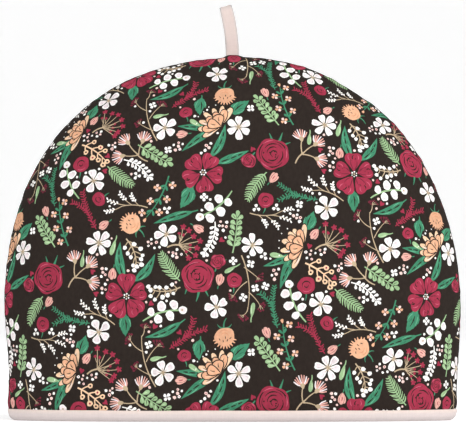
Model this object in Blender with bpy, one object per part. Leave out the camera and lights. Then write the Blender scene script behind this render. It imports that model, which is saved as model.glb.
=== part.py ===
"""A padded tea cosy of printed cotton, standing on its bound hem.

Two arched panels, front and back, are sewn together round the arch and stay open at the hem.
A folded tape binds the hem, and a loop of the same tape is caught in the seam at the crown.
Metres, +Z up. The front panel faces -Y, and the origin is the middle of the hem, on the surface
that the cosy stands on.
"""

import math

import bmesh
import bpy
import numpy as np
from mathutils import Matrix

# The arch, seen from the front
HALF_WIDTH = 0.175
WIDEST_HEIGHT = 0.0825
CROWN_HEIGHT = 0.278
ARCH_POWER = 2.14
HEM_DRAW_IN = 0.026
HEM_DRAW_POWER = 1.3

# The swell of a panel out of the seam's plane
HALF_DEPTH = 0.062
HEM_DEPTH_LOSS = 0.19
HEM_DEPTH_POWER = 1.8
SWELL_POWER = 3.0
SEAM_CREASE = 0.08

# Unevenness of the arch: a row for each bulge (+) or dip (-), by angle up from the hem's right end
ARCH_BUMPS = (
    {"angle": 47.0, "out": -0.0006, "spread": 9.0},
    {"angle": 70.0, "out": -0.0012, "spread": 5.0},
    {"angle": 98.0, "out": -0.0012, "spread": 8.0},
    {"angle": 125.0, "out": 0.0020, "spread": 14.0},
    {"angle": 166.0, "out": -0.0018, "spread": 9.0},
)
# Soft gathers where the swollen panel is drawn in to its seam
GATHER_DEPTH = 0.0011
GATHER_COUNT = 13
GATHER_DRIFT = 0.7
GATHER_DRIFT_COUNT = 3
GATHER_CENTRE = 0.88
GATHER_SPREAD = 0.13
GATHER_FADE_POWER = 12
# Above this height the bumps and gathers have their full size, and at the hem they have none
CALM_HEM = 0.045

# The binding's lower corner is rounded at the side seams, under a top edge that stays level
CORNER_LIFT = 0.004
CORNER_FROM = 0.965

# The padded wall, thinner where the binding squeezes it
WALL = 0.005
HEM_WALL = 0.003
WALL_THIN_TO = 0.021
WALL_FULL_FROM = 0.050

GAP = 0.0003

# The binding: a folded tape, U-shaped round the panels' lower edges
BINDING_HEIGHT = 0.008
BINDING_TAPE = 0.001
BINDING_PUFF = 0.0006
BINDING_CORNER = 0.0008
BINDING_CORNER_RISE = 0.0012

# The hanging loop: a tape that goes up from the seam, round and down into it again
LOOP_WIDTH = 0.010
LOOP_TAPE = 0.0012
LOOP_RISE = 0.038
LOOP_IN_SEAM = 0.0045
LOOP_BULGE = 0.0052
LOOP_LEAN_PER_METRE = 3.6
LOOP_LEG_OFFSET = LOOP_TAPE / 2 + GAP / 2
LOOP_SLOT_HEIGHT = 0.020

# Grid of a panel, and steps along the loop
COLUMNS = 40
ROWS = 20
EDGE_GRADING = 0.12
LOOP_STEPS = 44

PANEL_FOOT = BINDING_TAPE + GAP
MATERIALS = {
    "printed_cotton": {"colour": (0.045, 0.032, 0.028), "roughness": 0.88},
    "pink_tape": {"colour": (0.84, 0.70, 0.65), "roughness": 0.85},
}


def smooth_step(value):
    """0 below 0, 1 above 1, and a smooth rise between them."""
    share = np.clip(value, 0.0, 1.0)
    return share * share * (3.0 - 2.0 * share)


def wall(height):
    """Thickness of the padded wall: HEM_WALL up to WALL_THIN_TO, and WALL from WALL_FULL_FROM."""
    share = (height - WALL_THIN_TO) / (WALL_FULL_FROM - WALL_THIN_TO)
    return HEM_WALL + (WALL - HEM_WALL) * smooth_step(share)


def below_widest(height):
    """0 at and above the widest level, 1 at the hem."""
    return np.clip((WIDEST_HEIGHT - height) / WIDEST_HEIGHT, 0.0, 1.0)


def half_width(height, inset):
    """Half the width at a height below the widest level, on a surface inset from the outer one."""
    return HALF_WIDTH * (1.0 - HEM_DRAW_IN * below_widest(height) ** HEM_DRAW_POWER) - inset


def half_depth(height, inset):
    """How far the middle of the panel stands out of the seam's plane at a height."""
    return HALF_DEPTH * (1.0 - HEM_DEPTH_LOSS * below_widest(height) ** HEM_DEPTH_POWER) - inset


def girth(x, height, inset):
    """0 on the panel's middle and 1 on its seam: a superellipse above the widest level, and
    the share of the half width below it."""
    across = np.abs(x) / half_width(height, inset)
    up = np.clip(height - WIDEST_HEIGHT, 0.0, None) / (CROWN_HEIGHT - inset - WIDEST_HEIGHT)
    return (across**ARCH_POWER + up**ARCH_POWER) ** (1.0 / ARCH_POWER)


def swell(share):
    """1 in the middle of a section and 0 at the seam, where it meets the seam's plane at a
    steep slope: the square root of 1 less a power, cut short by SEAM_CREASE."""
    foot = math.sqrt(SEAM_CREASE)
    full = np.sqrt(1.0 - (1.0 - SEAM_CREASE) * np.clip(share, 0.0, 1.0) ** SWELL_POWER)
    return (full - foot) / (1.0 - foot)


def corner_lift(share, height):
    """How far a point of the hem is lifted: a quarter circle's rise to CORNER_LIFT at a side
    seam, for what lies below the panel's foot, and less and less up to the binding's top."""
    near_seam = np.clip((np.abs(share) - CORNER_FROM) / (1.0 - CORNER_FROM), 0.0, 1.0)
    rise = 1.0 - np.sqrt(1.0 - near_seam**2)
    faded = np.clip((height - PANEL_FOOT) / (BINDING_HEIGHT - PANEL_FOOT), 0.0, 1.0)
    return CORNER_LIFT * rise * (1.0 - faded)


def arch_radius(angle, inset):
    """Distance from the foot's middle to the seam, at an angle up from the right, by bisection."""
    near = np.zeros_like(angle)
    far = np.full_like(angle, 2.0 * CROWN_HEIGHT)
    for _ in range(50):
        middle = (near + far) / 2.0
        x = middle * np.cos(angle)
        height = PANEL_FOOT + middle * np.sin(angle)
        inside = girth(x, height, inset) < 1.0
        near = np.where(inside, middle, near)
        far = np.where(inside, far, middle)
    return near


def arch_bump(angle):
    """How far the arch stands out of its even curve at an angle up from the right."""
    turned = np.degrees(angle)
    return sum(
        bump["out"] * np.exp(-(((turned - bump["angle"]) / bump["spread"]) ** 2)) for bump in ARCH_BUMPS
    )


def graded(share):
    """Moves grid lines towards -1 and 1, where the panel turns sharply to its seam."""
    return share + EDGE_GRADING * np.sin(math.pi * share)


def panel_surface(inset_share):
    """Points of one surface of the panel in front of the seam, as (ROWS + 1, COLUMNS + 1, 3).

    inset_share 0 is the outer surface and 1 the inner one. A rectangle of grid lines is bent to
    a half disc, the disc is stretched to the arch, and the swell gives the depth.
    """
    across, up = np.meshgrid(
        graded(np.linspace(-1.0, 1.0, COLUMNS + 1)),
        graded(np.linspace(0.0, 1.0, ROWS + 1)),
    )
    disc_x = across * np.sqrt(1.0 - up**2 / 2.0)
    disc_z = up * np.sqrt(1.0 - across**2 / 2.0)
    angle = np.arctan2(disc_z, disc_x)
    radius = np.hypot(disc_x, disc_z)

    # The inset at each point depends on its height, which the outer arch gives closely enough.
    outer_height = PANEL_FOOT + radius * arch_radius(angle, 0.0) * np.sin(angle)
    inset = inset_share * wall(outer_height)
    reach = radius * arch_radius(angle, inset)
    x = reach * np.cos(angle)
    height = PANEL_FOOT + reach * np.sin(angle)

    share = girth(x, height, inset)
    on_seam = np.isclose(radius, 1.0, atol=1e-6)
    share = np.where(on_seam, 1.0, share)
    calm = smooth_step(height / CALM_HEM)
    gathered = np.exp(-(((share - GATHER_CENTRE) / GATHER_SPREAD) ** 2))
    gathered *= (1.0 - share**GATHER_FADE_POWER) * calm
    drift = GATHER_DRIFT * np.sin(GATHER_DRIFT_COUNT * angle)
    gathers = GATHER_DEPTH * np.sin(GATHER_COUNT * angle + drift)
    depth = half_depth(height, inset) * swell(share) + gathers * gathered

    bump = arch_bump(angle) * share**3 * calm
    x = x + bump * np.cos(angle)
    height = height + bump * np.sin(angle) + corner_lift(share, height)
    return np.stack([x, -(GAP / 2 + depth), height], axis=-1)


def grid_faces(rows, columns, start):
    """Quads of a grid of (rows + 1) by (columns + 1) points numbered row by row from start."""
    faces = []
    for row in range(rows):
        for column in range(columns):
            first = start + row * (columns + 1) + column
            faces.append((first, first + 1, first + columns + 2, first + columns + 1))
    return faces


def rim_numbers(rows, columns):
    """The numbers of a grid's outer points, in order round it."""
    wide = columns + 1
    foot = [column for column in range(columns)]
    right = [row * wide + columns for row in range(rows)]
    top = [rows * wide + column for column in range(columns, 0, -1)]
    left = [row * wide for row in range(rows, 0, -1)]
    return foot + right + top + left


def material(name):
    """A Principled material with the colour and roughness that MATERIALS gives."""
    made = bpy.data.materials.new(name)
    made.use_nodes = True
    shader = made.node_tree.nodes["Principled BSDF"]
    shader.inputs["Base Color"].default_value = (*MATERIALS[name]["colour"], 1.0)
    shader.inputs["Roughness"].default_value = MATERIALS[name]["roughness"]
    return made


def solid(name, points, faces, finish):
    """A smooth-shaded mesh object of these points and faces."""
    mesh = bpy.data.meshes.new(name)
    mesh.from_pydata([tuple(point) for point in points], [], faces)
    mesh.shade_smooth()
    mesh.set_sharp_from_angle(angle=math.radians(40.0))
    mesh.materials.append(finish)
    made = bpy.data.objects.new(name, mesh)
    bpy.context.scene.collection.objects.link(made)
    return made


def panel(name, side, finish):
    """One padded panel: outer surface, inner surface and the flat rim between them.

    side is -1 for the panel in front of the seam and 1 for its mirror image behind it.
    """
    outer = panel_surface(0.0).reshape(-1, 3)
    inner = panel_surface(1.0).reshape(-1, 3)
    points = np.concatenate([outer, inner])
    outer_faces = grid_faces(ROWS, COLUMNS, 0)
    inner_faces = [face[::-1] for face in grid_faces(ROWS, COLUMNS, len(outer))]
    rim = rim_numbers(ROWS, COLUMNS)
    rim_faces = [
        (here, here + len(outer), there + len(outer), there)
        for here, there in zip(rim, rim[1:] + rim[:1])
    ]
    faces = outer_faces + inner_faces + rim_faces
    if side > 0:
        points[:, 1] *= -1.0
        faces = [face[::-1] for face in faces]
    return solid(name, points, faces, finish)


def binding_section():
    """The binding's section as (outward from the panel's outer surface, height), anticlockwise
    from the top of the outer leg."""
    outside = GAP + BINDING_TAPE
    inside = -(HEM_WALL + GAP + BINDING_TAPE)
    return (
        (outside, BINDING_HEIGHT),
        (GAP, BINDING_HEIGHT),
        (GAP, BINDING_TAPE),
        (-HEM_WALL - GAP, BINDING_TAPE),
        (-HEM_WALL - GAP, BINDING_HEIGHT),
        (inside, BINDING_HEIGHT),
        (inside, BINDING_CORNER_RISE),
        (inside + BINDING_CORNER, 0.0),
        (outside - BINDING_CORNER, 0.0),
        (outside + BINDING_PUFF / 2, BINDING_CORNER_RISE),
        (outside + BINDING_PUFF, BINDING_HEIGHT / 2),
    )


def hem_binding(finish):
    """The tape round the hem: its section carried round both panels' lower edges."""
    stations = graded(np.linspace(-1.0, 1.0, COLUMNS + 1))
    ring = [(share, -1.0) for share in stations] + [(share, 1.0) for share in stations[-2:0:-1]]
    section = binding_section()
    points = []
    for share, side in ring:
        for outward, height in section:
            x = share * half_width(height, -outward)
            y = side * (half_depth(height, -outward) + GAP / 2) * swell(abs(share))
            points.append((x, y, height + corner_lift(share, height)))
    corners = len(section)
    faces = []
    for station in range(len(ring)):
        here = station * corners
        there = (station + 1) % len(ring) * corners
        for corner in range(corners):
            following = (corner + 1) % corners
            faces.append((here + corner, there + corner, there + following, here + following))
    return solid("hem_binding", points, faces, finish)


def loop_line():
    """The middle of the loop's tape, as (y, rise above the crown), from the end of its front leg
    over the top to the end of its back leg: a drop shape on two straight feet."""
    turn = np.linspace(0.0, math.pi, LOOP_STEPS // 2 + 1)
    rise = LOOP_RISE * (1.0 - np.cos(turn)) / 2.0
    y = LOOP_LEG_OFFSET * (1.0 + np.cos(turn)) / 2.0
    y = y + LOOP_BULGE * np.sin(turn) * np.sin(turn / 2.0) ** 2
    y = np.concatenate([[LOOP_LEG_OFFSET], y])
    rise = np.concatenate([[-LOOP_IN_SEAM], rise])
    front = np.stack([-y, rise], axis=1)
    back = np.stack([y, rise], axis=1)[-2::-1]
    return np.concatenate([front, back])


def leaned(across, y, rise, foot):
    """Where a point of the loop lies once the loop leans to the left in a bow: its middle line
    moves by LOOP_LEAN_PER_METRE times the square of its height, and its width turns with it."""
    tilt = np.arctan(2.0 * LOOP_LEAN_PER_METRE * np.clip(rise, 0.0, None))
    x = foot[0] - LOOP_LEAN_PER_METRE * np.clip(rise, 0.0, None) ** 2 + across * np.cos(tilt)
    height = foot[1] + rise + across * np.sin(tilt)
    return np.stack([x, y, height], axis=-1)


def hanging_loop(foot, finish):
    """The tape of the loop: a flat section carried along loop_line and leaned to the left."""
    line = loop_line()
    along = np.gradient(line, axis=0)
    along /= np.linalg.norm(along, axis=1)[:, None]
    along[0] = along[-1] = (0.0, 1.0)
    along[-1] *= -1.0
    outward = np.stack([-along[:, 1], along[:, 0]], axis=1)
    half = LOOP_WIDTH / 2
    thick = LOOP_TAPE / 2
    rings = []
    for across, out in ((-half, thick), (half, thick), (half, -thick), (-half, -thick)):
        at = line + out * outward
        rings.append(leaned(np.full(len(line), across), at[:, 0], at[:, 1], foot))
    points = np.stack(rings, axis=1).reshape(-1, 3)
    faces = [(3, 2, 1, 0)]
    for step in range(len(line) - 1):
        here = 4 * step
        for corner in range(4):
            following = (corner + 1) % 4
            faces.append((here + corner, here + following, here + 4 + following, here + 4 + corner))
    last = 4 * (len(line) - 1)
    faces.append((last, last + 1, last + 2, last + 3))
    return solid("hanging_loop", points, faces, finish)


def cut_loop_slot(panels, foot):
    """Opens the seam at the crown by the loop's two legs, with GAP all round."""
    size = (
        LOOP_WIDTH + 2 * GAP,
        2 * (LOOP_LEG_OFFSET + LOOP_TAPE / 2 + GAP),
        LOOP_SLOT_HEIGHT,
    )
    place = Matrix.Translation((foot[0], 0.0, foot[1])) @ Matrix.Diagonal((*size, 1.0))
    shape = bmesh.new()
    bmesh.ops.create_cube(shape, size=1.0, matrix=place)
    mesh = bpy.data.meshes.new("loop_slot")
    shape.to_mesh(mesh)
    shape.free()
    cutter = bpy.data.objects.new("loop_slot", mesh)
    bpy.context.scene.collection.objects.link(cutter)
    cutter.hide_render = True
    cutter.display_type = "WIRE"
    for made in panels:
        cut = made.modifiers.new("loop_slot", "BOOLEAN")
        cut.operation = "DIFFERENCE"
        cut.object = cutter


def main():
    """Clears the scene and makes the two panels, the binding and the loop."""
    for old in list(bpy.data.objects):
        bpy.data.objects.remove(old)
    cotton = material("printed_cotton")
    tape = material("pink_tape")
    panels = [panel("front_panel", -1, cotton), panel("back_panel", 1, cotton)]
    hem_binding(tape)
    foot = (0.0, CROWN_HEIGHT + float(arch_bump(np.array(math.pi / 2))))
    hanging_loop(foot, tape)
    cut_loop_slot(panels, foot)


main()
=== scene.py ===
"""Looks of a padded tea cosy of dark flowered cotton with a pale pink binding and hanging loop.

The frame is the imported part: metres, +Z up, the front panel faces -Y, and the origin is the
middle of the hem. Each panel starts as flat cloth in millimetres. The outlines of the printed
flowers are cut into that flat cloth, so every triangle has one ink, and then the cloth is
carried onto the swollen panel.
"""

import math

import bpy
import numpy as np
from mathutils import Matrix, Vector
from mathutils.geometry import delaunay_2d_cdt


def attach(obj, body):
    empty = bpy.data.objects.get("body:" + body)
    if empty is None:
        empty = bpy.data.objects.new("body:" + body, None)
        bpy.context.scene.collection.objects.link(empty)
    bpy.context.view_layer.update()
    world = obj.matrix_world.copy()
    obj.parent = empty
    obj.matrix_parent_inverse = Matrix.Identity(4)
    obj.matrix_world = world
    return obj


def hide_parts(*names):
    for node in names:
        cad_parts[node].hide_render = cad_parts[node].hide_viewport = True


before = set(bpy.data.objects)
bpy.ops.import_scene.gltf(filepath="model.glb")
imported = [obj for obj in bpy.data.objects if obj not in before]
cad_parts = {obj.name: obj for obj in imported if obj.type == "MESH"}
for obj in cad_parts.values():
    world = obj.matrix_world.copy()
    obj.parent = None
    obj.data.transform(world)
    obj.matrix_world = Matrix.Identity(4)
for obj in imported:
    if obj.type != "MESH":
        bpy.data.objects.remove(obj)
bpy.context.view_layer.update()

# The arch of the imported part, as its source gives it
HALF_WIDTH = 0.175
WIDEST_HEIGHT = 0.0825
CROWN_HEIGHT = 0.278
ARCH_POWER = 2.14
HEM_DRAW_IN = 0.026
HEM_DRAW_POWER = 1.3
HALF_DEPTH = 0.062
HEM_DEPTH_LOSS = 0.19
HEM_DEPTH_POWER = 1.8
SWELL_POWER = 3.0
SEAM_CREASE = 0.08
ARCH_BUMPS = (
    {"angle": 47.0, "out": -0.0006, "spread": 9.0},
    {"angle": 70.0, "out": -0.0012, "spread": 5.0},
    {"angle": 98.0, "out": -0.0012, "spread": 8.0},
    {"angle": 125.0, "out": 0.0020, "spread": 14.0},
    {"angle": 166.0, "out": -0.0018, "spread": 9.0},
)
GATHER_DEPTH = 0.0011
GATHER_COUNT = 13
GATHER_CENTRE = 0.88
GATHER_SPREAD = 0.13
CALM_HEM = 0.045
CORNER_LIFT = 0.004
CORNER_FROM = 0.965
BINDING_HEIGHT = 0.008
WALL = 0.005
HEM_WALL = 0.003
WALL_THIN_TO = 0.021
WALL_FULL_FROM = 0.050
GAP = 0.0003
PANEL_FOOT = 0.0013
LOOP_WIDTH = 0.010
LOOP_TAPE = 0.0012
LOOP_RISE = 0.038
LOOP_IN_SEAM = 0.0045
LOOP_BULGE = 0.0052
LOOP_LEAN_PER_METRE = 3.6

MM = 0.001

# Colours of the print, as sRGB
INKS = {
    "ground": "2D2622",
    "crimson": "9C3449",
    "rose": "C25C72",
    "maroon": "6E2A39",
    "peach": "DFAA88",
    "cream_peach": "ECC7A4",
    "apricot": "D18F6A",
    "blush": "EADFE1",
    "shade": "CDBFC4",
    "beige": "BCA78A",
    "green": "428465",
    "sage": "6AAE8B",
    "deep_green": "2C664E",
    "leaf": "99B98B",
    "pale_leaf": "C3D8B1",
    "pink": "E2AA9E",
    "pale_pink": "F1D0C8",
    "white": "F9F6F2",
}

REPEAT_WIDTH = 174.0
REPEAT_HEIGHT = 189.0


def ring_of(count):
    """Equally spaced angles round a full turn."""
    return np.linspace(0.0, 2.0 * math.pi, count, endpoint=False)


def polar(radius, angle):
    """Points at a radius and an angle from the origin."""
    return np.stack([radius * np.cos(angle), radius * np.sin(angle)], axis=-1)


def turned(points, angle):
    """Points turned about the origin, anticlockwise."""
    cos, sin = math.cos(angle), math.sin(angle)
    return points @ np.array([[cos, sin], [-sin, cos]])


def uneven(outline, amount, draw):
    """A brushed edge: each point moves out from the middle by three sines of random phase."""
    middle = outline.mean(axis=0)
    share = np.linspace(0.0, 2.0 * math.pi, len(outline), endpoint=False)
    waves = sum(np.sin(count * share + draw.uniform(0, 6.28)) / 3 for count in (2, 3, 5))
    away = outline - middle
    length = np.maximum(np.linalg.norm(away, axis=1), 1e-6)
    return outline + away / length[:, None] * (amount * waves)[:, None]


def blob(radius, draw, rough=0.06, count=10, squash=1.0):
    """A spot: a circle with a brushed edge."""
    return uneven(polar(radius, ring_of(count)) * (1.0, squash), radius * rough * 3, draw)


def petal(length, width, fullness, draw, notch=0.0, rough=0.2, count=18):
    """A petal or leaflet from the origin along +X: a closed loop whose half width is a sine,
    moved towards the tip by a power, with a notch pressed into the tip."""
    turn = ring_of(count)
    along = (1.0 - np.cos(turn)) / 2.0
    side = np.sin(turn) * np.maximum(along, 0.02) ** fullness
    side /= np.abs(side).max()
    points = np.stack([length * along, width / 2 * side], axis=1)
    points[:, 0] -= notch * np.exp(-((side / 0.35) ** 2)) * (along > 0.6)
    return uneven(points, rough, draw)


def leaf_outline(length, width, bend, draw, rough=0.2, count=13):
    """A pointed leaf along +X on a bent spine: the half width is a sine, fuller near the base."""
    along = np.linspace(0.0, 1.0, count)
    spine = bend * np.sin(math.pi * along)
    half = width / 2 * np.sin(math.pi * along) ** 0.85 * (1.0 + 0.28 * np.cos(math.pi * along))
    upper = np.stack([length * along, spine + half], axis=1)
    lower = np.stack([length * along, spine - half], axis=1)[-2:0:-1]
    return uneven(np.concatenate([upper, lower]), rough, draw)


def stroke(path, width, start=0.6, end=0.3):
    """A brush stroke along a path: its half width runs from start to full and down to end."""
    path = np.asarray(path, dtype=float)
    along = np.gradient(path, axis=0)
    along /= np.maximum(np.linalg.norm(along, axis=1), 1e-9)[:, None]
    across = np.stack([-along[:, 1], along[:, 0]], axis=1)
    share = np.linspace(0.0, 1.0, len(path))
    full = np.interp(share, [0.0, 0.35, 1.0], [start, 1.0, end]) * width / 2
    left = path + across * full[:, None]
    right = path - across * full[:, None]
    return np.concatenate([left, right[::-1]])


def curve(start, end, bow, count=7):
    """A bowed line from start to end: the middle stands off the straight line by bow."""
    share = np.linspace(0.0, 1.0, count)[:, None]
    start, end = np.asarray(start, float), np.asarray(end, float)
    way = end - start
    across = np.array([-way[1], way[0]]) / max(np.hypot(*way), 1e-9)
    return start + way * share + across * (4.0 * bow * share * (1.0 - share))


def arc(radius, first, last, count=8, centre=(0.0, 0.0)):
    """Points on a circle from one angle to another, in degrees."""
    return polar(radius, np.radians(np.linspace(first, last, count))) + centre


def moved(shapes, at=(0.0, 0.0), turn=0.0):
    """Shapes turned in degrees and moved."""
    return [(turned(points, math.radians(turn)) + at, ink) for points, ink in shapes]


def edged(outline, ink, gap):
    """A shape over a slightly larger ground-coloured one, which parts it from what lies below."""
    middle = outline.mean(axis=0)
    away = outline - middle
    length = np.maximum(np.linalg.norm(away, axis=1), 1e-6)
    return [(outline + away / length[:, None] * gap, "ground"), (outline, ink)]


def rimmed(outline, draw, inner=0.74):
    """A white shape with a blush one inside it, a little off its middle."""
    middle = outline.mean(axis=0) + draw.uniform(-0.25, 0.25, 2)
    return [(outline, "white"), (middle + (outline - middle) * inner, "blush")]


def open_bloom(draw):
    """A wide open crimson flower, 35 mm across: five broad petals round a ring of cream dots."""
    shapes = []
    for number in range(5):
        length = draw.uniform(13.2, 16.0)
        outline = petal(length, draw.uniform(12.6, 15.0), 0.62, draw, notch=1.6, rough=0.5, count=22)
        marks = [(outline, "crimson")]
        for bow, reach in ((0.7, 0.62), (-0.8, 0.5)):
            line = curve((1.6, bow * 0.8), (length * reach, bow * 3.4), bow)
            marks.append((stroke(line, 0.85), "maroon"))
        tip = curve((length * 0.62, 0.6), (length * 0.84, -0.6), 0.8, 5)
        marks.append((stroke(tip, 1.0), "ground"))
        for _ in range(3):
            fleck = (length * draw.uniform(0.45, 0.8), draw.uniform(-2.6, 2.6))
            marks.append((blob(draw.uniform(0.35, 0.6), draw, 0.1, 6, 0.7) + fleck, "ground"))
        for side in (-1, 1):
            foot = (length * draw.uniform(0.45, 0.6), side * draw.uniform(2.6, 4.2))
            end = (length * draw.uniform(0.78, 0.92), side * draw.uniform(2.6, 4.4))
            marks.append((stroke(curve(foot, end, side * 0.7, 5), 0.8, 0.3, 0.3), "rose"))
        shapes += moved(marks, at=polar(2.4, math.radians(72.0 * number)), turn=72.0 * number)
    for number in range(6):
        spot = blob(draw.uniform(0.5, 0.75), draw, count=7)
        shapes.append((spot + polar(1.9, number * 1.05 + 0.3), "white"))
    shapes.append((blob(0.7, draw, count=7), "beige"))
    return shapes


def layered_rose(draw, radius=12.5):
    """A full rose seen from above: a scalloped round with rings of dark crescents."""
    turn = ring_of(34)
    outline = polar(radius * (0.93 + 0.09 * np.abs(np.sin(2.5 * turn + 0.4))), turn)
    shapes = [(uneven(outline, 0.6, draw), "crimson")]
    for share, parts, start in ((0.78, 3, 20), (0.58, 3, 80), (0.38, 2, 10), (0.2, 1, 140)):
        for part in range(parts):
            first = start + 360.0 / parts * part + draw.uniform(-8, 8)
            line = arc(radius * share, first, first + 250.0 / parts, 9)
            line += polar(radius * 0.07, math.radians(first))
            shapes.append((stroke(line, radius * 0.075 + 0.2, 0.3, 0.3), "ground"))
    for _ in range(6):
        fleck = polar(radius * draw.uniform(0.15, 0.6), draw.uniform(0, 6.28))
        shapes.append((blob(radius * 0.05 + 0.15, draw, 0.1, 6, 0.7) + fleck, "ground"))
    for part in range(3):
        first = 60 + 120 * part + draw.uniform(-20, 20)
        shapes.append((stroke(arc(radius * 0.68, first, first + 50, 6), 0.8, 0.3, 0.2), "maroon"))
        shapes.append((stroke(arc(radius * 0.86, first + 60, first + 105, 6), 0.8, 0.3, 0.2), "rose"))
    return shapes


def rose_with_sepals(draw):
    """The full rose on three green sepals and a short stem, with a small bud beside it."""
    shapes = []
    for angle, length in ((200, 19.0), (232, 17.0), (168, 16.5)):
        line = curve((0, 0), polar(length, math.radians(angle)), draw.uniform(-2, 2))
        shapes.append((stroke(line, 3.0, 1.0, 0.15), "green"))
    shapes += layered_rose(draw)
    bud = moved(layered_rose(draw, 5.6), at=(16.5, -9.5), turn=40)
    shapes.append((stroke(curve((8.5, -10.5), (20.5, -15.0), 1.6), 1.6, 0.5, 0.2), "green"))
    return shapes + bud


def rosebud(draw):
    """A small crimson bud: a spot with two dark curls and a green calyx."""
    radius = draw.uniform(4.6, 6.6)
    stalk = curve((-radius * 0.8, 0), (-radius * 1.8, draw.uniform(-2, 2)), 0.5)
    shapes = [(stroke(stalk, 1.1), "green")]
    shapes.append((blob(radius, draw, 0.035, 18, 1.08), "crimson"))
    shapes.append((stroke(arc(radius * 0.5, -60, 120, 7), radius * 0.17, 0.4, 0.2), "ground"))
    shapes.append((stroke(arc(radius * 0.24, 100, 300, 6), radius * 0.15, 0.4, 0.2), "ground"))
    shapes.append((stroke(arc(radius * 0.74, 150, 240, 6), radius * 0.12, 0.4, 0.2), "rose"))
    return shapes


def peach_bloom(draw):
    """A many-petalled peach flower seen from the side, 30 mm wide: three fans of petals."""
    shapes = []
    for reach, width, angles, ink in (
        (17.5, 4.4, (-74, -50, -26, 0, 26, 50, 76), "cream_peach"),
        (14.0, 5.6, (-60, -24, 12, 52), "peach"),
        (10.0, 7.2, (-30, 24), "peach"),
    ):
        for angle in angles:
            length = reach * draw.uniform(0.9, 1.06)
            outline = petal(length, width * draw.uniform(0.9, 1.1), 0.85, draw, rough=0.3, count=16)
            marks = edged(outline, ink, 0.9)
            line = curve((length * 0.45, 0.0), (length * 0.8, draw.uniform(-0.7, 0.7)), 0.3, 5)
            marks.append((stroke(line, 0.7), "ground"))
            shine = curve((length * 0.5, width * 0.2), (length * 0.86, width * 0.14), 0.4, 4)
            marks.append((stroke(shine, 0.75), "cream_peach" if ink == "peach" else "blush"))
            shapes += moved(marks, turn=90 + angle + draw.uniform(-4, 4))
    for number in range(5):
        spot = blob(0.55, draw, count=6)
        shapes.append((spot + polar(draw.uniform(18.5, 20.0), math.radians(56 + 17 * number)), "white"))
    return moved(shapes, at=(0.0, -6.0))


def peach_globe(draw):
    """A round peach flower head, 16 mm across, with a fringe of strokes and a green stalk."""
    shapes = [(stroke(curve((0, 5), (1.5, 14), 1.2), 1.2, 1.0, 0.5), "green")]
    for side in (-1, 1):
        shapes.append((stroke(curve((0, 6.5), (side * 5.4, 9.5), side * -1.0), 1.2, 1.0, 0.3), "green"))
    for angle in np.arange(200, 345, 16):
        way = math.radians(angle + draw.uniform(-4, 4))
        shapes.append((stroke([polar(6.0, way), polar(7.6, way), polar(9.2, way)], 1.4, 1.0, 0.4), "peach"))
    shapes.append((blob(7.6, draw, 0.03, 22, 0.92), "peach"))
    for across, up, lean in (
        (-3.4, -2.6, 30),
        (-1.0, -4.0, 10),
        (1.8, -3.4, -20),
        (3.8, -1.6, -40),
        (0.6, -1.4, 5),
    ):
        mark = stroke([(0, 0), (0, 0.9), (0.1, 1.8)], 0.8, 0.8, 0.4)
        shapes.append((turned(mark, math.radians(lean)) + (across, up), "ground"))
    shapes.append((stroke(arc(5.2, 60, 140, 7), 0.7, 0.3, 0.3), "apricot"))
    shapes.append((stroke(arc(3.0, 20, 150, 7), 0.7, 0.3, 0.3), "apricot"))
    return shapes


def white_blossom(draw):
    """A white flower of four to six rounded petals with beige strokes from its middle."""
    petals = int(draw.integers(4, 7))
    reach = draw.uniform(8.4, 10.6)
    width = {4: 0.74, 5: 0.68, 6: 0.56}[petals]
    shapes = []
    for number in range(petals):
        turn = 360.0 / petals * number + draw.uniform(-5, 5)
        length = reach * draw.uniform(0.88, 1.06)
        notch = draw.uniform(0, 0.7)
        outline = petal(length, reach * width, 0.8, draw, notch, 0.35, 16)
        marks = rimmed(outline, draw)
        marks.append((stroke(curve((length * 0.5, 0.8), (length * 0.8, 0.9), 0.3, 4), 0.5), "shade"))
        shapes += moved(marks, at=polar(0.6, math.radians(turn)), turn=turn)
    for number in range(petals * 2):
        way = math.pi / petals * number + draw.uniform(-0.15, 0.15)
        reach_in = reach * (0.42 if number % 2 == 0 else 0.28) * draw.uniform(0.85, 1.1)
        ray = [polar(0.2, way), polar(reach_in * 0.5, way), polar(reach_in, way)]
        shapes.append((stroke(ray, 0.62), "beige"))
    return shapes


def lance_leaf(draw, length=None):
    """A long pointed leaf with dark dashes along its midrib."""
    length = length or draw.uniform(25.0, 34.0)
    width = length * draw.uniform(0.18, 0.25)
    bend = length * draw.uniform(-0.1, 0.1)
    shapes = [(leaf_outline(length, width, bend, draw, 0.35), "green")]

    def spine(share):
        return (length * share, bend * math.sin(math.pi * share))

    shapes.append((stroke([spine(-0.12), spine(0.0), spine(0.08)], 1.0, 0.8, 1.0), "green"))
    for first, last in ((0.16, 0.4), (0.44, 0.62), (0.66, 0.8)):
        path = [spine(first + (last - first) * step / 4) for step in range(5)]
        shapes.append((stroke(path, 1.2, 0.5, 0.3), "ground"))
    for share, side in ((0.34, 1), (0.46, -1), (0.6, 1)):
        foot = np.array(spine(share)) + (0, side * 0.9)
        shapes.append((stroke(curve(foot, foot + (2.6, side * 1.3), 0.2 * side, 4), 0.55), "deep_green"))
    for first, last, side in ((0.16, 0.42, -1), (0.5, 0.82, 1)):
        start = np.array(spine(first)) + (0, side * width * 0.24)
        end = np.array(spine(last)) + (0, side * width * 0.2)
        shapes.append((stroke(curve(start, end, side * width * 0.06, 5), 0.75, 0.3, 0.3), "sage"))
    return shapes


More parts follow.
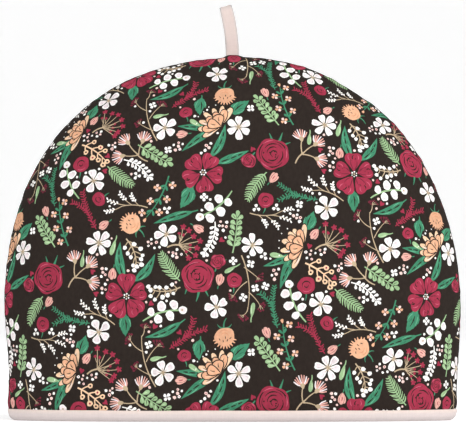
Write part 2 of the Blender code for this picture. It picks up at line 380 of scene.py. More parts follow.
def broad_leaf(draw):
    """A short broad leaf with a ragged edge and a dark midrib."""
    length = draw.uniform(15.0, 19.0)
    outline = leaf_outline(length, length * 0.54, draw.uniform(-1, 1), draw, 0.5, 15)
    outline[::2] += (outline[::2] - outline.mean(axis=0)) * 0.07
    shapes = [(outline, "green")]
    shapes.append((stroke(curve((-2.4, 0), (length * 0.3, 0), 0.3), 0.9, 0.8, 0.8), "green"))
    shapes.append((stroke(curve((length * 0.25, 0), (length * 0.75, 0.4), 0.5), 1.1, 0.4, 0.3), "ground"))
    for side in (-1, 1):
        line = curve((length * 0.4, side * 1.2), (length * 0.62, side * 2.6), 0.2, 4)
        shapes.append((stroke(line, 0.6), "deep_green"))
        line = curve((length * 0.22, side * 2.6), (length * 0.6, side * 3.9), side * 0.6, 5)
        shapes.append((stroke(line, 0.7), "sage"))
    return shapes


def paddle_leaf(draw):
    """A small light green leaf on a stalk."""
    length = draw.uniform(9.5, 13.0)
    shapes = [(stroke(curve((-3.0, 0), (2.0, 0), 0.3, 5), 0.9, 0.7, 0.9), "leaf")]
    shapes.append((petal(length, draw.uniform(3.2, 4.2), 0.5, draw, rough=0.2, count=14), "leaf"))
    shapes.append((stroke(curve((length * 0.3, 0.6), (length * 0.8, 0.9), 0.3, 5), 0.8), "pale_leaf"))
    return shapes


def fern(draw):
    """A fern frond: narrow leaflets on both sides of a bowed rib, shorter to the tip."""
    length = 27.0
    bow = draw.uniform(-2.6, 2.6)
    rib = curve((0, 0), (length, 0), bow, 12)
    shapes = [(stroke(rib, 0.85, 1.0, 0.5), "leaf")]
    for share in np.arange(0.1, 1.0, 0.075):
        foot = np.array([length * share, 4 * bow * share * (1 - share)])
        reach = 5.6 * math.sin(math.pi * (0.22 + 0.72 * share)) + 0.8
        for side in (-1, 1):
            tip = foot + turned(np.array([reach, 0.0]), side * math.radians(draw.uniform(48, 60)))
            shapes.append((stroke(curve(foot, tip, side * 0.35, 4), 1.15, 0.7, 0.35), "leaf"))
    return shapes


def laurel(draw):
    """A laurel sprig: plump leaflets in pairs along a stalk, some with a dark line."""
    length = 25.0
    stalk = curve((-2, 0), (length, 0), draw.uniform(-0.8, 0.8), 8)
    shapes = [(stroke(stalk, 1.0, 1.0, 0.6), "leaf")]
    for number, share in enumerate(np.arange(0.12, 0.95, 0.165)):
        for side in (-1, 1):
            reach = draw.uniform(5.8, 7.0) * (1.0 - 0.25 * share)
            marks = [(petal(reach, 3.3, 0.6, draw, rough=0.2, count=12), "leaf")]
            line = "ground" if (number + side) % 3 == 0 else "pale_leaf"
            marks.append((stroke([(1.4, 0), (reach * 0.5, 0.1), (reach * 0.8, 0)], 0.6), line))
            shapes += moved(marks, at=(length * share, side * 0.3), turn=side * draw.uniform(46, 58))
    shapes += moved([(petal(5.6, 3.2, 0.6, draw, count=12), "leaf")], at=(length, 0))
    return shapes


def needle_sprig(draw, ink):
    """A sprig of short needles: a bowed stem with one side shoot, both set thickly with dabs."""
    length = 31.0
    shapes = []
    fork = length * 0.45
    for start, end, bow in (
        ((0, 0), (length, 0), draw.uniform(1.5, 3.0)),
        ((fork, 2.0), (length * 0.86, 11.0), -1.2),
    ):
        path = curve(start, end, bow, 9)
        shapes.append((stroke(path, 0.8, 0.9, 0.5), ink))
        steps = int(np.hypot(*(path[-1] - path[0])) / 1.9)
        spots = np.linspace(0.06, 1.0, steps)
        across = np.interp(spots, np.linspace(0, 1, 9), path[:, 0])
        up = np.interp(spots, np.linspace(0, 1, 9), path[:, 1])
        lean = math.atan2(end[1] - start[1], end[0] - start[0])
        for x, y in zip(across, up):
            for side in (-1, 1):
                way = lean + side * math.radians(draw.uniform(34, 70))
                reach = draw.uniform(2.0, 3.4)
                dab = [(x, y), polar(reach * 0.5, way) + (x, y), polar(reach, way) + (x, y)]
                shapes.append((stroke(dab, 1.0, 0.5, 0.7), ink))
    return shapes


def berry_twig(draw):
    """A long beige twig that forks three times, with fine maroon berries on thread stalks."""
    shapes = [(stroke(curve((0, 0), (40, 3), 3.0, 12), 0.85, 1.1, 0.6), "beige")]
    for foot, tip in (
        ((9, 1.4), (17, 11)),
        ((20, 3.4), (30, -7)),
        ((28, 4.0), (38, 12.0)),
        ((39.5, 3), (45, 0)),
    ):
        shapes.append((stroke(curve(foot, tip, draw.uniform(-1.2, 1.2)), 0.65, 1.1, 0.7), "beige"))
        lean = math.atan2(tip[1] - foot[1], tip[0] - foot[0])
        for spread in (-1.1, -0.65, -0.2, 0.25, 0.7, 1.15):
            way = lean + spread + draw.uniform(-0.1, 0.1)
            end = np.array(tip) + polar(draw.uniform(3.0, 5.0), way)
            ink = "maroon" if spread > 0 else "beige"
            shapes.append((stroke(curve(tip, end, 0.4, 4), 0.45, 1.0, 0.8), ink))
            shapes.append((blob(draw.uniform(0.75, 1.0), draw, count=7) + end, "maroon"))
    return shapes


def bud_twig(draw):
    """A beige twig that ends in four catkins of small white dabs."""
    shapes = [(stroke(curve((0, 0), (20, 0), -1.5, 9), 0.8, 1.0, 0.7), "beige")]
    for foot, tip in (
        ((6, -0.8), (13, -9)),
        ((12, -1.4), (22, -10)),
        ((16, -1), (31, -4.5)),
        ((20, 0), (32, 4.5)),
    ):
        shapes.append((stroke(curve(foot, tip, 0.8), 0.6, 1.0, 0.6), "beige"))
        path = curve(foot, tip, 0.8, 12)[5:]
        for number, spot in enumerate(path):
            way = math.atan2(tip[1] - foot[1], tip[0] - foot[0]) + (0.8 if number % 2 else -0.8)
            dab = stroke([spot, spot + polar(1.1, way), spot + polar(2.1, way)], 1.25, 0.6, 0.8)
            shapes.append((dab, "white"))
    return shapes


def ring_berries(draw):
    """A peach stem with ring-shaped berries on short side stalks."""
    shapes = [(stroke(curve((0, 0), (25, 0), 1.5, 9), 1.3, 1.0, 0.5), "cream_peach")]
    for number, share in enumerate((0.14, 0.4, 0.66, 0.88)):
        for side in (-1, 1):
            if number == 3 and side > 0:
                continue
            foot = np.array([25 * share, 6 * share * (1 - share)])
            tip = foot + polar(draw.uniform(5.2, 8.2), side * draw.uniform(0.75, 1.1))
            shapes.append((stroke(curve(foot, tip, side * 0.5, 5), 1.0, 1.0, 0.8), "cream_peach"))
            shapes.append((blob(draw.uniform(1.9, 2.4), draw, count=11) + tip, "cream_peach"))
            shapes.append((blob(0.85, draw, count=7) + tip, "crimson" if number == 1 else "ground"))
    shapes.append((blob(2.1, draw, count=11) + (27.0, 0), "cream_peach"))
    shapes.append((blob(0.8, draw, count=7) + (27.2, 0), "ground"))
    return shapes


def white_berries(draw):
    """A beige sprig of round white berries."""
    shapes = [(stroke(curve((0, 0), (21, 2), 2.0, 8), 1.0, 1.0, 0.6), "beige")]
    for number, share in enumerate(np.arange(0.12, 1.0, 0.2)):
        foot = np.array([21 * share, 2 * share + 8 * share * (1 - share)])
        for side in (-1, 1):
            tip = foot + polar(draw.uniform(4.4, 7.6), side * draw.uniform(0.6, 0.95) + 0.1)
            shapes.append((stroke(curve(foot, tip, side * 0.4, 4), 0.75, 1.0, 0.8), "beige"))
            shapes.append((blob(draw.uniform(1.3, 1.85), draw, count=9) + tip, "white"))
    shapes.append((blob(1.7, draw, count=9) + (22.6, 2.0), "white"))
    return shapes


def umbel(draw):
    """Beige rays that fan out from one stalk, each with a ragged crimson head."""
    shapes = [(stroke(curve((-9, 0), (0, 0), 0.8, 5), 1.2, 0.9, 1.0), "beige")]
    for angle in (-66, -44, -24, -3, 18, 40, 62):
        reach = draw.uniform(12.5, 17.0)
        tip = polar(reach, math.radians(angle + draw.uniform(-4, 4)))
        shapes.append((stroke(curve((0, 0), tip, draw.uniform(-0.8, 0.8), 6), 0.62, 1.0, 0.7), "beige"))
        if abs(angle) > 20:
            small = polar(reach * 0.62, math.radians(angle + 12))
            shapes.append((stroke(curve(tip * 0.3, small, 0.4, 4), 0.5, 1.0, 0.7), "beige"))
            shapes.append((blob(1.2, draw, 0.12, 9) + small, "crimson"))
        for number in range(5):
            way = number * 1.257 + draw.uniform(-0.2, 0.2)
            dab = stroke([tip, tip + polar(1.3, way), tip + polar(2.4, way)], 1.7, 0.8, 0.5)
            shapes.append((dab, "crimson"))
    return shapes


def tulip_bud(draw):
    """A pink bud with three pointed petals and a crimson fleck."""
    shapes = []
    for lean, length in ((14, 8.6), (-14, 8.2), (0, 9.4)):
        shapes += moved(edged(petal(length, 3.6, 0.25, draw, rough=0.2, count=12), "pink", 0.25), turn=lean)
    shapes.append((stroke([(3.4, 0), (5.0, 0.2), (6.6, 0)], 0.8, 0.6, 0.3), "crimson"))
    shapes.append((stroke(curve((-2.6, 0.2), (0.6, 0), 0.3, 4), 0.9), "green"))
    return shapes


def fan_flower(draw):
    """A thistle-like flower: fine pink strokes that fan out of a beige cup."""
    shapes = []
    for number, angle in enumerate(np.linspace(-52, 52, 8)):
        way = math.radians(angle)
        reach = 9.6 - abs(angle) * 0.03
        line = [polar(1.8, way), polar(reach * 0.55, way * 1.05), polar(reach, way * 0.9)]
        shapes.append((stroke(line, 1.15, 0.6, 0.7), "blush" if number % 3 == 1 else "pink"))
    shapes.append((petal(4.6, 3.4, 0.3, draw, count=12) - (1.6, 0.0), "beige"))
    return shapes


def fan_spray(draw):
    """Three fan flowers on one forked beige stem."""
    shapes = [(stroke(curve((-8, -2), (3, 0), 1.0, 6), 1.1, 0.8, 1.0), "beige")]
    for tip, turn in (((9, 8.5), 62), ((14, -1), 4), ((7, -9.5), -58)):
        shapes.append((stroke(curve((1, -0.4), tip, 0.8, 6), 0.9, 1.0, 0.8), "beige"))
        shapes += moved(fan_flower(draw), at=tip, turn=turn)
    return shapes


def coin_sprig(draw):
    """A light green stem with round white leaves on both sides."""
    shapes = [(stroke(curve((-3, 0), (26, 0), 2.4, 10), 1.4, 0.7, 0.9), "leaf")]
    for share, side, radius in (
        (0.16, 1, 2.7),
        (0.3, -1, 3.0),
        (0.5, 1, 3.3),
        (0.66, -1, 3.2),
        (0.86, 1, 3.1),
    ):
        foot = np.array([26 * share, 9.6 * share * (1 - share)])
        spot = foot + (0.8, side * (radius + 0.9))
        shapes += rimmed(blob(radius, draw, 0.05, 14, 1.2) + spot, draw)
        shapes.append((stroke(arc(radius * 0.45, 200, 330, 5, spot), 0.5, 0.5, 0.3), "shade"))
    shapes += rimmed(blob(3.1, draw, 0.04, 14) + (28.5, -0.6), draw)
    shapes.append((blob(0.8, draw, count=8) + (28.0, -0.4), "beige"))
    return shapes


def floret_stem(draw):
    """A green stem set with small four-petalled peach florets and pairs of leaves."""
    shapes = [(stroke(curve((0, 0), (36, 0), 2.2, 12), 1.1, 1.0, 0.5), "green")]
    for share in (0.2, 0.52, 0.8):
        foot = np.array([36 * share, 8.8 * share * (1 - share)])
        for side in (-1, 1):
            shapes += moved([(petal(4.8, 1.9, 0.4, draw, count=10), "green")], at=foot, turn=side * 40)
    for share, side in ((0.1, 1), (0.3, -1), (0.42, 1), (0.62, -1), (0.74, 1), (0.92, -1)):
        foot = np.array([36 * share, 8.8 * share * (1 - share)])
        spot = foot + (1.4, side * 5.2)
        shapes.append((stroke(curve(foot, spot, side * 0.4, 4), 0.6, 1.0, 0.8), "green"))
        for number in range(4):
            ink = "peach" if number % 2 else "pale_pink"
            shapes += moved([(petal(2.9, 2.3, 0.7, draw, count=9), ink)], at=spot, turn=90 * number + 20)
        shapes.append((blob(0.5, draw, count=6) + spot, "ground"))
    shapes += moved([(petal(3.6, 2.3, 0.5, draw, count=9), "peach")], at=(36.5, 0))
    return shapes


def seed_clock(draw):
    """A round seed head: white rays from a spot, each ended by a dab, in two rings."""
    shapes = [(blob(1.5, draw, count=9), "white")]
    for number in range(14):
        way = 2 * math.pi * number / 14 + draw.uniform(-0.06, 0.06)
        reach = 8.6 if number % 2 else 6.2
        ray = [polar(1.9, way), polar(reach * 0.6, way), polar(reach, way)]
        shapes.append((stroke(ray, 0.5, 0.8, 0.8), "white"))
        shapes.append((blob(0.95 if number % 2 else 0.75, draw, count=8) + polar(reach, way), "white"))
    return shapes


def dot_cluster(draw):
    """Five or six loose dots, white and pale pink, one or two of them rings."""
    shapes = []
    for number in range(int(draw.integers(4, 7))):
        way = number * 1.2 + draw.uniform(-0.2, 0.2)
        spot = polar(draw.uniform(2.4, 4.2) if number else 0.0, way)
        radius = draw.uniform(0.85, 1.35)
        shapes.append((blob(radius, draw, count=9) + spot, "white" if number % 2 else "pale_pink"))
        if number % 3 == 2:
            shapes.append((blob(radius * 0.42, draw, count=6) + spot, "crimson"))
    return shapes


def white_spray(draw):
    """A curved white stem with plump white dabs in pairs, and a pink dab at some."""
    shapes = [(stroke(curve((0, 0), (24, 0), 2.6, 9), 0.9, 1.0, 0.6), "white")]
    for number, share in enumerate(np.arange(0.14, 1.0, 0.14)):
        foot = np.array([24 * share, 10.4 * share * (1 - share)])
        for side in (-1, 1):
            marks = [(petal(4.4, 2.3, 0.9, draw, rough=0.15, count=10), "white")]
            if (number + side) % 3 == 0:
                marks.append((stroke([(1.8, 0), (2.8, 0.1), (3.7, 0)], 0.6), "pink"))
            shapes += moved(marks, at=foot, turn=side * draw.uniform(40, 58))
    shapes += moved([(petal(4.4, 2.4, 0.9, draw, count=10), "white")], at=(24, 0))
    return shapes


def tiny_floret(draw):
    """A white floret of three or four dabs."""
    shapes = []
    petals = int(draw.integers(3, 5))
    for number in range(petals):
        shapes += moved([(petal(3.2, 2.6, 0.8, draw, count=9), "white")], turn=360 / petals * number)
    shapes.append((blob(0.55, draw, count=6), "ground"))
    return shapes


def crimson_dab(draw):
    """A small crimson heart-shaped dab."""
    return [(petal(4.6, 4.2, 0.9, draw, notch=1.0, rough=0.25, count=12), "crimson")]


def single_dot(draw):
    """One dot."""
    dot = blob(draw.uniform(0.8, 1.2), draw, count=8)
    return [(dot, str(draw.choice(["white", "pale_pink", "white"])))]


def bloom_bouquet(draw):
    """The open crimson flower over two long leaves and a broad one."""
    shapes = moved(lance_leaf(draw, 30.0), at=polar(12.0, math.radians(150)), turn=150)
    shapes += moved(lance_leaf(draw, 27.0), at=polar(12.0, math.radians(118)), turn=106)
    shapes += moved(broad_leaf(draw), at=polar(13.5, math.radians(-42)), turn=-36)
    return shapes + open_bloom(draw)


def peach_bouquet(draw):
    """The peach flower over long leaves at both sides and a light green one."""
    shapes = moved(lance_leaf(draw, 32.0), at=(-4, -4), turn=168)
    shapes += moved(lance_leaf(draw, 26.0), at=(-6, -1), turn=128)
    shapes += moved(broad_leaf(draw), at=(13, -4), turn=-8)
    shapes += moved(paddle_leaf(draw), at=(-10.5, 6), turn=98)
    return shapes + peach_bloom(draw)


# The repeat: each kind of motif, how many lie in one repeat, and whether they keep far apart
MOTIFS = (
    {"draws": bloom_bouquet, "count": 2, "apart": 1.0},
    {"draws": peach_bouquet, "count": 2, "apart": 1.0},
    {"draws": rose_with_sepals, "count": 2, "apart": 1.0},
    {"draws": umbel, "count": 2, "apart": 0.6},
    {"draws": berry_twig, "count": 2, "apart": 0.6},
    {"draws": fan_spray, "count": 2, "apart": 0.6},
    {"draws": coin_sprig, "count": 3, "apart": 0.4},
    {"draws": fern, "count": 3, "apart": 0.5},
    {"draws": laurel, "count": 3, "apart": 0.5},
    {"draws": white_blossom, "count": 8, "apart": 0.8},
    {"draws": floret_stem, "count": 2, "apart": 0.3},
    {"draws": lambda draw: needle_sprig(draw, "crimson"), "count": 2, "apart": 0.3},
    {"draws": lambda draw: needle_sprig(draw, "green"), "count": 2, "apart": 0.3},
    {"draws": bud_twig, "count": 3, "apart": 0.3},
    {"draws": peach_globe, "count": 2, "apart": 0.8},
    {"draws": ring_berries, "count": 2, "apart": 0.3},
    {"draws": lance_leaf, "count": 2, "apart": 0.2},
    {"draws": white_berries, "count": 4, "apart": 0.3},
    {"draws": white_spray, "count": 4, "apart": 0.3},
    {"draws": seed_clock, "count": 2, "apart": 0.6},
    {"draws": rosebud, "count": 6, "apart": 0.3},
    {"draws": broad_leaf, "count": 1, "apart": 0.1},
    {"draws": tulip_bud, "count": 8, "apart": 0.1},
    {"draws": paddle_leaf, "count": 5, "apart": 0.0},
    {"draws": dot_cluster, "count": 13, "apart": 0.1},
    {"draws": tiny_floret, "count": 16, "apart": 0.0},
    {"draws": crimson_dab, "count": 10, "apart": 0.0},
    {"draws": single_dot, "count": 40, "apart": 0.0},
)
# The layout's seed, the size of a cell and the places tried for each motif
PRINT_SEED = 7
SPOT = 0.75
TRIES = 900
# How far a motif keeps clear of others, and how far off a neighbour still counts as close
CLEARANCE = 0.7
NEARBY = 2.6
# The most sample points of a motif, what a covered one costs and the share that may be covered
SAMPLES = 220
HIT_COST = 60.0
HITS_ALLOWED = 0.012
# Beyond this distance a motif of the same kind no longer matters, and the score's unit of it
FAR = 110.0
FAR_UNIT = 12.0


def inside(points, outline):
    """Which points lie inside a closed outline, by counting crossings."""
    x, y = points[:, 0][:, None], points[:, 1][:, None]
    first, second = outline, np.roll(outline, -1, axis=0)
    crosses = (first[:, 1] > y) != (second[:, 1] > y)
    rise = np.where(second[:, 1] == first[:, 1], 1e-9, second[:, 1] - first[:, 1])
    at = first[:, 0] + (y - first[:, 1]) / rise * (second[:, 0] - first[:, 0])
    return (crosses & (x < at)).sum(axis=1) % 2 == 1


def footprint(shapes):
    """Sample points over all that the shapes cover, SPOT apart, with the outlines' own points."""
    samples = [points for points, _ in shapes]
    for points, _ in shapes:
        low, high = points.min(axis=0), points.max(axis=0)
        if (high - low).min() > 2 * SPOT:
            across, up = np.meshgrid(np.arange(low[0], high[0], SPOT), np.arange(low[1], high[1], SPOT))
            grid = np.stack([across.ravel(), up.ravel()], axis=1)
            samples.append(grid[inside(grid, points)])
    return np.concatenate(samples)


def repeat_cells(points):
    """The cells of the repeat that points fall in. The columns of repeats are each half a
    repeat higher than the last."""
    column = np.floor(points[..., 0] / REPEAT_WIDTH)
    across = points[..., 0] - column * REPEAT_WIDTH
    up = np.mod(points[..., 1] - column * REPEAT_HEIGHT / 2, REPEAT_HEIGHT)
    return (up / SPOT).astype(int), (across / SPOT).astype(int)


def repeat_distance(points, others):
    """The shortest distance from each point to any of the others in the endless print."""
    nearest = np.full(len(points), 1e9)
    for column in (-1, 0, 1):
        for row in (-1, 0, 1):
            shift = np.array([column * REPEAT_WIDTH, row * REPEAT_HEIGHT + column * REPEAT_HEIGHT / 2])
            for other in others:
                away = points - other - shift
                # The half drop can bring the nearest copy from a row further on.
                for drop in (-REPEAT_HEIGHT, 0.0, REPEAT_HEIGHT):
                    nearest = np.minimum(nearest, np.hypot(away[:, 0], away[:, 1] - drop))
    return nearest


def lay_out_repeat(seed):
    """Places every motif of the repeat, the large ones first.

    Each motif tries many places and turns. Of those where it clears what is already there, it
    takes the one with the most neighbours close by, or, as far as apart says, the one furthest
    from its own kind.
    """
    draw = np.random.default_rng(seed)
    taken = np.zeros((int(REPEAT_HEIGHT / SPOT), int(REPEAT_WIDTH / SPOT)), dtype=bool)
    around = polar(CLEARANCE, ring_of(8))
    nearby = polar(NEARBY, ring_of(8))
    placed = []
    for motif in MOTIFS:
        own_kind = []
        for _ in range(motif["count"]):
            shapes = motif["draws"](draw)
            samples = footprint(shapes)
            thin = samples[:: max(1, len(samples) // SAMPLES)]
            places = draw.uniform((0, 0), (REPEAT_WIDTH, REPEAT_HEIGHT), (TRIES, 2))
            turns = draw.uniform(0, 2 * math.pi, TRIES)
            cos, sin = np.cos(turns), np.sin(turns)
            spin = np.stack([np.stack([cos, sin], -1), np.stack([-sin, cos], -1)], axis=1)
            spread = np.einsum("ki,tij->tkj", thin, spin) + places[:, None]
            hits = taken[repeat_cells(spread)].mean(axis=1)
            close = sum(taken[repeat_cells(spread + step)].mean(axis=1) for step in nearby)
            score = close - HIT_COST * hits
            if own_kind:
                away = np.minimum(repeat_distance(places, own_kind), FAR)
                score = score + motif["apart"] * away / FAR_UNIT
            best = int(np.argmax(score))
            if hits[best] > HITS_ALLOWED:
                continue
            own_kind.append(places[best])
            angle = math.degrees(turns[best])
            placed.append(moved(shapes, at=places[best], turn=angle))
            whole = turned(samples, turns[best]) + places[best]
            for step in np.concatenate([[(0.0, 0.0)], around]):
                taken[repeat_cells(whole + step)] = True
    return placed


REPEAT = lay_out_repeat(PRINT_SEED)


def smooth_step(value):
    """0 below 0, 1 above 1, and a smooth rise between them."""
    share = np.clip(value, 0.0, 1.0)
    return share * share * (3.0 - 2.0 * share)


def below_widest(height):
    """0 at and above the widest level, 1 at the hem."""
    return np.clip((WIDEST_HEIGHT - height) / WIDEST_HEIGHT, 0.0, 1.0)


def half_width(height, inset=0.0):
    """Half the width at a height, on a surface inset from the outer one."""
    return HALF_WIDTH * (1.0 - HEM_DRAW_IN * below_widest(height) ** HEM_DRAW_POWER) - inset


def half_depth(height, inset=0.0):
    """How far the middle of the panel stands out of the seam's plane at a height."""
    return HALF_DEPTH * (1.0 - HEM_DEPTH_LOSS * below_widest(height) ** HEM_DEPTH_POWER) - inset


def swell(share):
    """1 in the middle of a section and 0 at the seam: the square root of 1 less a power."""
    foot = math.sqrt(SEAM_CREASE)
    full = np.sqrt(1.0 - (1.0 - SEAM_CREASE) * np.clip(share, 0.0, 1.0) ** SWELL_POWER)
    return (full - foot) / (1.0 - foot)


def wall(height):
    """Thickness of the padded wall at a height."""
    share = (height - WALL_THIN_TO) / (WALL_FULL_FROM - WALL_THIN_TO)
    return HEM_WALL + (WALL - HEM_WALL) * smooth_step(share)


def corner_lift(share, height):
    """How far the hem is lifted near the side seams: a quarter circle's rise, which fades out
    from the panel's foot to the binding's top."""
    near_seam = np.clip((np.abs(share) - CORNER_FROM) / (1.0 - CORNER_FROM), 0.0, 1.0)
    rise = 1.0 - np.sqrt(1.0 - near_seam**2)
    faded = np.clip((height - PANEL_FOOT) / (BINDING_HEIGHT - PANEL_FOOT), 0.0, 1.0)
    return CORNER_LIFT * rise * (1.0 - faded)


def arch_bump(angle):
    """How far the arch stands out of its even curve at an angle up from the right."""
    degrees = np.degrees(angle)
    return sum(
        bump["out"] * np.exp(-(((degrees - bump["angle"]) / bump["spread"]) ** 2))
        for bump in ARCH_BUMPS
    )


def section_table(steps=500):
    """Cloth and section against each other along a section of the panel.

    Returns the share of the flat cloth's half width at each step, the share of the finished half
    width that it comes to, and how much wider the flat cloth is than the finished panel.
    """
    share = np.linspace(0.0, 1.0, steps)
    rise = np.diff(HALF_DEPTH * swell(share))
    run = np.diff(share) * HALF_WIDTH
    length = np.concatenate([[0.0], np.cumsum(np.hypot(run, rise))])
    return length / length[-1], share, length[-1] / HALF_WIDTH


CLOTH_SHARE, PANEL_SHARE, EASE = section_table()
ARCH_RISE = CROWN_HEIGHT - WIDEST_HEIGHT


def flat_share(flat):
    """0 on the flat panel's middle and 1 on its edge, for flat points in metres."""
    across = np.abs(flat[:, 0]) / (EASE * half_width(flat[:, 1]))
    up = np.clip(flat[:, 1] - WIDEST_HEIGHT, 0.0, None) / (EASE * ARCH_RISE)
    return (across**ARCH_POWER + up**ARCH_POWER) ** (1.0 / ARCH_POWER)


def flat_curve(share, spacing):
    """Evenly spaced flat points of one level of flat_share, from the hem's right end over the
    crown to its left end, in metres."""
    low = np.linspace(PANEL_FOOT, WIDEST_HEIGHT, 60)[:-1]
    right = np.stack([share * EASE * half_width(low), low], axis=1)
    turn = np.linspace(0.0, math.pi, 600)
    reach = 2.0 / ARCH_POWER
    arch = np.stack(
        [
            share * EASE * HALF_WIDTH * np.sign(np.cos(turn)) * np.abs(np.cos(turn)) ** reach,
            WIDEST_HEIGHT + share * EASE * ARCH_RISE * np.abs(np.sin(turn)) ** reach,
        ],
        axis=1,
    )
    return evenly(np.concatenate([right, arch, right[::-1] * (-1.0, 1.0)]), spacing)


def evenly(path, spacing):
    """Points along a path at an even spacing, both its ends kept."""
    step = np.linalg.norm(np.diff(path, axis=0), axis=1)
    run = np.concatenate([[0.0], np.cumsum(step)])
    stations = np.linspace(0.0, run[-1], max(2, int(round(run[-1] / spacing)) + 1))
    return np.stack([np.interp(stations, run, column) for column in path.T], axis=1)


def ripples(seed, count, shortest, longest):
    """Rows of wavelength, direction and phase for rippled, in metres and radians."""
    draw = np.random.default_rng(seed)
    columns = (draw.uniform(shortest, longest, count), draw.uniform(0, math.pi, count))
    return np.stack([*columns, draw.uniform(0, 2 * math.pi, count)], axis=1)


def rippled(across, up, rows):
    """The sum of one sine for each row along that row's direction, mostly within -1 to 1."""
    total = 0.0
    for length, direction, phase in rows:
        along = across * math.cos(direction) + up * math.sin(direction)
        total = total + np.sin(2.0 * math.pi * along / length + phase)
    return total / math.sqrt(1.5 * len(rows))


def even_panel(flat, inset_share):
    """Flat points in metres carried to the panel in front of the seam, without its relief.

    The section table draws each point in towards the panel's middle line and the widest level.
    The swell gives its depth, and inset_share 1 is the inside of the padded wall. Returns the
    points, their share of the way to the seam and their angle up from the hem's right end.
    """
    cloth = np.clip(flat_share(flat), 1e-6, 1.0)
    share = np.interp(cloth, CLOTH_SHARE, PANEL_SHARE)
    drawn = share / (cloth * EASE)
    inset = inset_share * wall(flat[:, 1])
    above = np.clip(flat[:, 1] - WIDEST_HEIGHT, 0.0, None)
    height = np.minimum(flat[:, 1], WIDEST_HEIGHT) + above * drawn * (1.0 - inset / ARCH_RISE)
    x = flat[:, 0] * drawn * (1.0 - inset / HALF_WIDTH)
    depth = half_depth(height, inset) * swell(share)
    angle = np.arctan2(height - PANEL_FOOT, x)

    calm = smooth_step(height / CALM_HEM)
    bump = arch_bump(angle) * share**3 * calm
    lift = corner_lift(share, height)
    points = [x + bump * np.cos(angle), -(GAP / 2 + depth), height + bump * np.sin(angle) + lift]
    return np.stack(points, axis=1), share, angle


# The step for normals, and the panel's reach to its seam from its middle and round the arch
STEP = 0.0003
SEAM_REACH = 0.19
SEAM_RADIUS = 0.21
# Heights of the relief: puckers along the seam, the field, the puff and tucks over the binding
PUCKER_HEIGHT = 0.00055
FIELD_HEIGHT = 0.0008
PUFF_HEIGHT = 0.0008
TUCK_HEIGHT = 0.0004
# How far the seam's line is drawn in, and how far the loop's legs part and lift the cloth
SEAM_DRAW = 0.0007
LEG_PARTING = 0.0014
LEG_LIFT = 0.0015


def facing(surface, flat):
    """A surface's points and unit normals at flat points, by small steps towards its middle."""
    here = surface(flat)
    side = np.where(flat[:, 0] < 0.0, -1.0, 1.0)
    beside = surface(flat - np.stack([side * STEP, np.zeros(len(flat))], axis=1))
    below = surface(flat - (0.0, STEP))
    normal = np.cross((here - beside) * side[:, None], here - below)
    return here, normal / np.linalg.norm(normal, axis=1)[:, None]


def relief(share, angle, x, height, waves):
    """How far the cloth stands off the even panel along its normal.

    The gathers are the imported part's. Puckers are short sines along the seam that die away from
    it by an exponential, the field is a sum of long sines that stops before the seam and the
    hem, and the cloth puffs up and puckers over the binding.
    """
    calm = smooth_step(height / CALM_HEM)
    gathered = np.exp(-(((share - GATHER_CENTRE) / GATHER_SPREAD) ** 2)) * (1.0 - share**12) * calm
    gathers = GATHER_DEPTH * np.sin(GATHER_COUNT * angle + 0.7 * np.sin(3.0 * angle)) * gathered

    along_seam = angle * SEAM_RADIUS
    from_seam = (1.0 - share) * SEAM_REACH
    strength = 0.6 + 0.4 * rippled(along_seam, 0.0, waves["patches"])
    puckers = PUCKER_HEIGHT * rippled(along_seam, 0.0, waves["puckers"]) * strength
    puckers = puckers * np.exp(-from_seam / 0.009) * smooth_step((height - 0.010) / 0.02)

    field = FIELD_HEIGHT * rippled(x, height, waves["field"]) * (1.0 - share**6) * calm

    above = height - BINDING_HEIGHT
    over = smooth_step(above / 0.004)
    puff = PUFF_HEIGHT * np.exp(-(((above - 0.007) / 0.006) ** 2))
    fading = np.exp(-np.clip(above, 0.0, None) / 0.010)
    tucks = TUCK_HEIGHT * rippled(x, 0.0, waves["tucks"]) * fading
    return gathers + puckers + field + (puff + tucks) * over


def cloth_surface(waves):
    """The finished outer surface of a panel as a function of flat points."""

    def even(flat):
        return even_panel(flat, 0.0)[0]

    def surface(flat):
        points, normal = facing(even, flat)
        _, share, angle = even_panel(flat, 0.0)
        raised = relief(share, angle, points[:, 0], points[:, 2], waves)
        # The seam's stitches pull its line in, and the loop's legs part it at the crown.
        from_seam = (1.0 - share) * SEAM_REACH
        seam = np.exp(-from_seam / 0.0011) * smooth_step((points[:, 2] - 0.010) / 0.01)
        drawn = SEAM_DRAW * seam
        made = points + normal * raised[:, None]
        made[:, 0] -= drawn * np.cos(angle)
        made[:, 2] -= drawn * np.sin(angle)
        legs = np.exp(-(((points[:, 0] - 0.0008) / 0.0068) ** 4) - from_seam / 0.003)
        made[:, 1] = np.minimum(made[:, 1], -GAP / 2) - LEG_PARTING * legs
        made[:, 2] += LEG_LIFT * legs * (points[:, 2] > WIDEST_HEIGHT)
        return made

    return surface


def cloth_points():
    """Flat points in metres that the cloth needs to bend smoothly: a net over the middle, closer
    rings beside the seam and closer rows over the binding."""
    across, up = np.meshgrid(np.arange(-0.206, 0.206, 0.0038), np.arange(0.0, 0.31, 0.0034))
    across[::2] += 0.0019
    net = np.stack([across.ravel(), up.ravel()], axis=1)
    net = net[(flat_share(net) < 0.925) & (net[:, 1] > 0.022)]
    shares = (0.936, 0.951, 0.963, 0.974, 0.983, 0.990, 0.9955)
    rings = [flat_curve(share, 0.0026) for share in shares]
    rows = []
    for height in (0.004, 0.0075, 0.0092, 0.0112, 0.0134, 0.016, 0.019):
        reach = 0.93 * EASE * half_width(height)
        spots = np.linspace(-reach, reach, 118)
        rows.append(np.stack([spots, np.full(len(spots), height)], axis=1))
    return np.concatenate([net, *rings, *rows])


